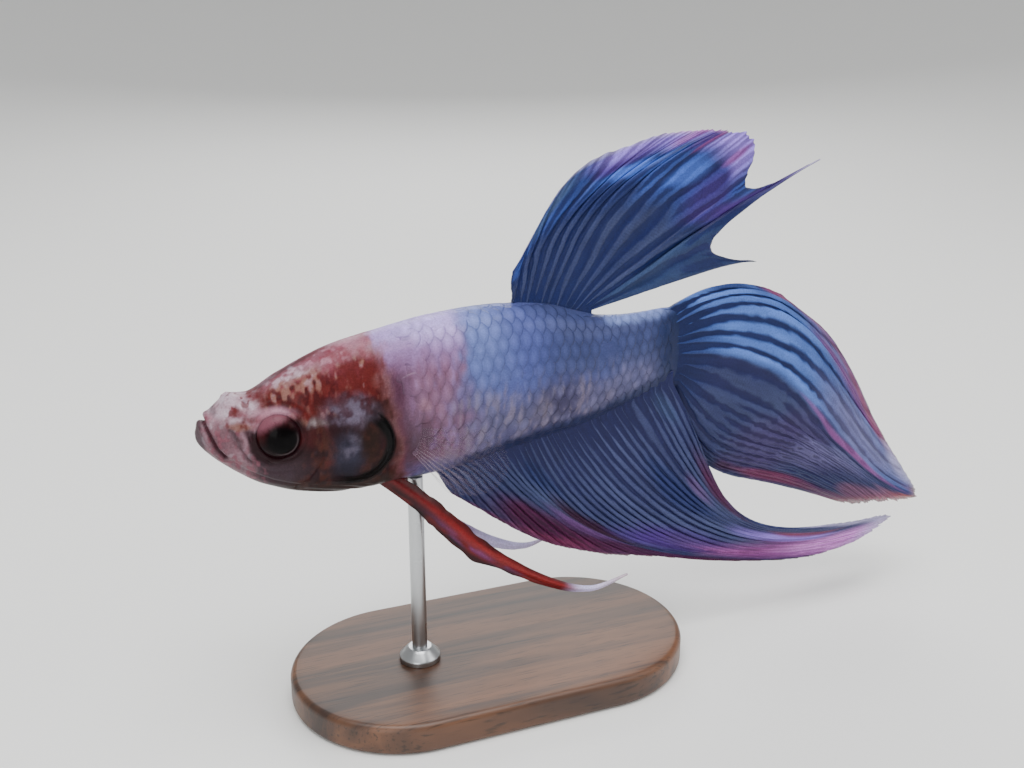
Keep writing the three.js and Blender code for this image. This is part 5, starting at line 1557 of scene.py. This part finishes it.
class BETTA_PG_colours(bpy.types.PropertyGroup):
    """Colours that a user would change."""
    rose: colour_of("Rose", "#775670", "Mauve-pink of the front flank")
    deep_mauve: colour_of("Deep mauve", "#402032", "Flesh just behind the gill cover")
    lavender: colour_of("Lavender", "#9475ac", "Back in front of the blue")
    pale_grey: colour_of("Pale grey", "#84788a", "Low flank in front")
    grey_lavender: colour_of("Grey lavender", "#555376", "Low flank behind")
    # Ice blue is the flank's own colour before the dorsal fin, and a painted highlight on the ridge behind
    # it.
    ice_blue_and_highlight: colour_of("Ice blue", "#7e8fce", "Back before and behind the dorsal fin")
    mist: colour_of("Mist", "#6e6b90", "Flecks of the low flank")
    periwinkle: colour_of("Periwinkle", "#4b5490", "Upper flank")
    slate_blue: colour_of("Slate blue", "#3b426a", "Rear flank and tail stalk")
    # This colour is a painted highlight along the ridge of the back.
    back_highlight: colour_of("Pale blue", "#b7a6ea", "Ridge of the back")
    dark_mauve: colour_of("Dark mauve", "#322c49", "Shadowed patch of the rear flank")
    sand: colour_of("Sand", "#645a66", "Tan patch of the flank")
    navy: colour_of("Navy", "#182347", "End of the tail stalk")
    navy_purple: colour_of("Navy purple", "#262c4c", "Band over the anal fin")
    raw_red: colour_of("Raw red", "#5a2230", "Flesh at the gill slit")
    pink_white: colour_of("Pink white", "#8f6f7a", "Snout and crown")
    rose_white: colour_of("Rose white", "#a87a8c", "Brow and the top of the nape")
    white: colour_of("White", "#b5a3b0", "Nose bumps and fin tips")
    mauve_pink: colour_of("Mauve pink", "#7b4855", "Lips and nape")
    lip: colour_of("Lip", "#40353a", "Lower lip")
    tan: colour_of("Tan", "#7c5347", "Gaps between the red blotches")
    brick: colour_of("Brick", "#561c1b", "Blotches of the crown")
    crimson: colour_of("Crimson", "#74333f", "Nape and fin margins")
    # Maroon black is the cheeks' own colour, and also painted shade in the mouth and folds, round the eye
    # and over the lower head.
    maroon_black: colour_of("Maroon black", "#1f0b10", "Cheeks and folds")
    grey_purple: colour_of("Grey purple", "#3a2d35", "Lower cheek")
    chin: colour_of("Chin", "#5e4b50", "Chin")
    belly_grey: colour_of("Throat grey", "#342d2b", "Underside of the head")
    rust: colour_of("Rust", "#40201a", "Band behind the cheek")
    gill_blue: colour_of("Gill blue", "#2b2a3a", "Middle of the gill cover")
    slate: colour_of("Slate", "#402c38", "Upper gill cover")
    dark_slate: colour_of("Dark slate", "#191724", "Lower gill cover")
    slate_light: colour_of("Slate light", "#625a6c", "Pale flecks of the gill cover")
    brick_dark: colour_of("Dark brick", "#3a0f12", "Deepest blotches of the crown")
    snout_mauve: colour_of("Snout mauve", "#60424a", "Sides of the snout")
    olive: colour_of("Olive", "#20110c", "Rear of the gill cover")
    silver: colour_of("Silver", "#877a7e", "Spot behind the eye")
    black: colour_of("Black", "#030203", "Gill flap and pupil")
    eye_red: colour_of("Eye red", "#784a56", "Front of the iris")
    iris: colour_of("Iris", "#16080b", "Iris")
    fin_navy: colour_of("Fin navy", "#1a2450", "Membrane of the fins")
    fin_shade: colour_of("Fin shade", "#20234a", "Membrane of the lower fins")
    steel_blue: colour_of("Steel blue", "#434a70", "Rays of the anal fin")
    fin_slate: colour_of("Fin slate", "#3e4669", "Dull rays")
    cornflower: colour_of("Cornflower", "#5678c6", "Wide rays of the tail fin")
    azure: colour_of("Azure", "#4767c2", "Streaks of the dorsal fin")
    teal: colour_of("Teal", "#354668", "Rear of the dorsal fin")
    fin_haze: colour_of("Haze", "#625f87", "Outer rays of the tail fin")
    fin_lilac: colour_of("Fin lilac", "#9c7ee6", "Margin of the dorsal fin")
    fin_violet: colour_of("Fin violet", "#40256a", "Violet streaks")
    fin_rose: colour_of("Fin rose", "#63356a", "Mauve-pink patches of the fins")
    fin_crimson: colour_of("Fin crimson", "#74304f", "Margins of the tail fin")
    plum: colour_of("Plum", "#3f3058", "Outer membrane")
    magenta: colour_of("Magenta", "#7a3f78", "Streaks and margins")
    margin_pink: colour_of("Margin pink", "#704a62", "Edge of the tail fin")
    dark_plum: colour_of("Dark plum", "#280c22", "Dark fold of the anal fin")
    fin_maroon: colour_of("Fin maroon", "#400f30", "Front of the anal fin")
    tip_crimson: colour_of("Tip crimson", "#86304a", "Lowest edge of the tail fin")
    tip_red: colour_of("Tip red", "#8a4a48", "Point of the tail fin")
    tip_mauve: colour_of("Tip mauve", "#934f8c", "Outer rays of the anal fin")
    tip_pink: colour_of("Tip pink", "#d48cda", "Fin tips")
    tip_pale: colour_of("Tip pale", "#c4bce4", "Palest fin tips")
    feeler_red: colour_of("Feeler red", "#6e1a1e", "Pelvic fins")
    feeler_bright: colour_of("Feeler bright", "#8a2622", "Lit side of the pelvic fins")
    feeler_dark: colour_of("Feeler dark", "#2c060c", "Membrane of the pelvic fins")
    clear_membrane: colour_of("Clear membrane", "#8a7686", "Pectoral membrane")
    clear_ray: colour_of("Clear ray", "#8d7a84", "Pectoral rays")
    walnut_dark: colour_of("Walnut dark", "#2f1c12", "Dark grain")
    walnut_light: colour_of("Walnut light", "#6a442b", "Light grain")
    steel: colour_of("Steel", "#b9bbbd", "Rod and collar")
    floor: colour_of("Floor", "#f0f0ee", "Studio floor")
    sky: colour_of("Sky", "#f4f5f8", "Even light")


def settings(context):
    return context.scene.betta_sizes, context.scene.betta_colours


class BETTA_OT_skin(bpy.types.Operator):
    """Build the one skin of head and body"""
    bl_idname = "betta.skin"
    bl_label = "Skin"

    def execute(self, context):
        build_skin(*settings(context))
        return {"FINISHED"}


class BETTA_OT_scales(bpy.types.Operator):
    """Build the scales of both sides"""
    bl_idname = "betta.scales"
    bl_label = "Scales"

    def execute(self, context):
        build_scales(*settings(context))
        return {"FINISHED"}


class BETTA_OT_eyes(bpy.types.Operator):
    """Build both eyes"""
    bl_idname = "betta.eyes"
    bl_label = "Eyes"

    def execute(self, context):
        build_eyes(settings(context)[1])
        return {"FINISHED"}


class BETTA_OT_median_fins(bpy.types.Operator):
    """Build the dorsal, tail and anal fins"""
    bl_idname = "betta.median_fins"
    bl_label = "Median fins"

    def execute(self, context):
        for name, paint in (("dorsal_fin", paint_dorsal), ("caudal_fin", paint_caudal),
                            ("anal_fin", paint_anal)):
            build_median_fin(name, *settings(context), paint)
        return {"FINISHED"}


class BETTA_OT_paired_fins(bpy.types.Operator):
    """Build the pelvic and pectoral fins"""
    bl_idname = "betta.paired_fins"
    bl_label = "Paired fins"

    def execute(self, context):
        colours = settings(context)[1]
        build_pelvic_fins(colours)
        build_pectoral_fins(colours)
        return {"FINISHED"}


class BETTA_OT_stand(bpy.types.Operator):
    """Build the walnut base with its steel rod and collar"""
    bl_idname = "betta.stand"
    bl_label = "Stand"

    def execute(self, context):
        build_stand(*settings(context))
        return {"FINISHED"}


class BETTA_OT_stage(bpy.types.Operator):
    """Build the floor, the lights and the camera"""
    bl_idname = "betta.stage"
    bl_label = "Stage"

    def execute(self, context):
        sizes, colours = settings(context)
        build_floor(colours)
        build_lights(sizes, colours)
        build_camera()
        return {"FINISHED"}


class BETTA_PT_panel(bpy.types.Panel):
    bl_label = "Veiltail betta"
    bl_idname = "BETTA_PT_panel"
    bl_space_type = "VIEW_3D"
    bl_region_type = "UI"
    bl_category = "Betta"

    def draw(self, context):
        for operator in OPERATORS:
            self.layout.operator(operator.bl_idname)
        for group in settings(context):
            box = self.layout.box()
            for key in group.bl_rna.properties.keys():
                if key not in ("name", "rna_type"):
                    box.prop(group, key)


OPERATORS = (BETTA_OT_skin, BETTA_OT_scales, BETTA_OT_eyes, BETTA_OT_median_fins, BETTA_OT_paired_fins,
             BETTA_OT_stand, BETTA_OT_stage)
CLASSES = (BETTA_PG_sizes, BETTA_PG_colours, *OPERATORS, BETTA_PT_panel)


def register():
    for cls in CLASSES:
        bpy.utils.register_class(cls)
    bpy.types.Scene.betta_sizes = PointerProperty(type=BETTA_PG_sizes)
    bpy.types.Scene.betta_colours = PointerProperty(type=BETTA_PG_colours)


def unregister():
    del bpy.types.Scene.betta_colours
    del bpy.types.Scene.betta_sizes
    for cls in reversed(CLASSES):
        bpy.utils.unregister_class(cls)


def main():
    register()
    for operator in OPERATORS:
        group, name = operator.bl_idname.split(".")
        getattr(getattr(bpy.ops, group), name)()


if __name__ == "__main__":
    main()
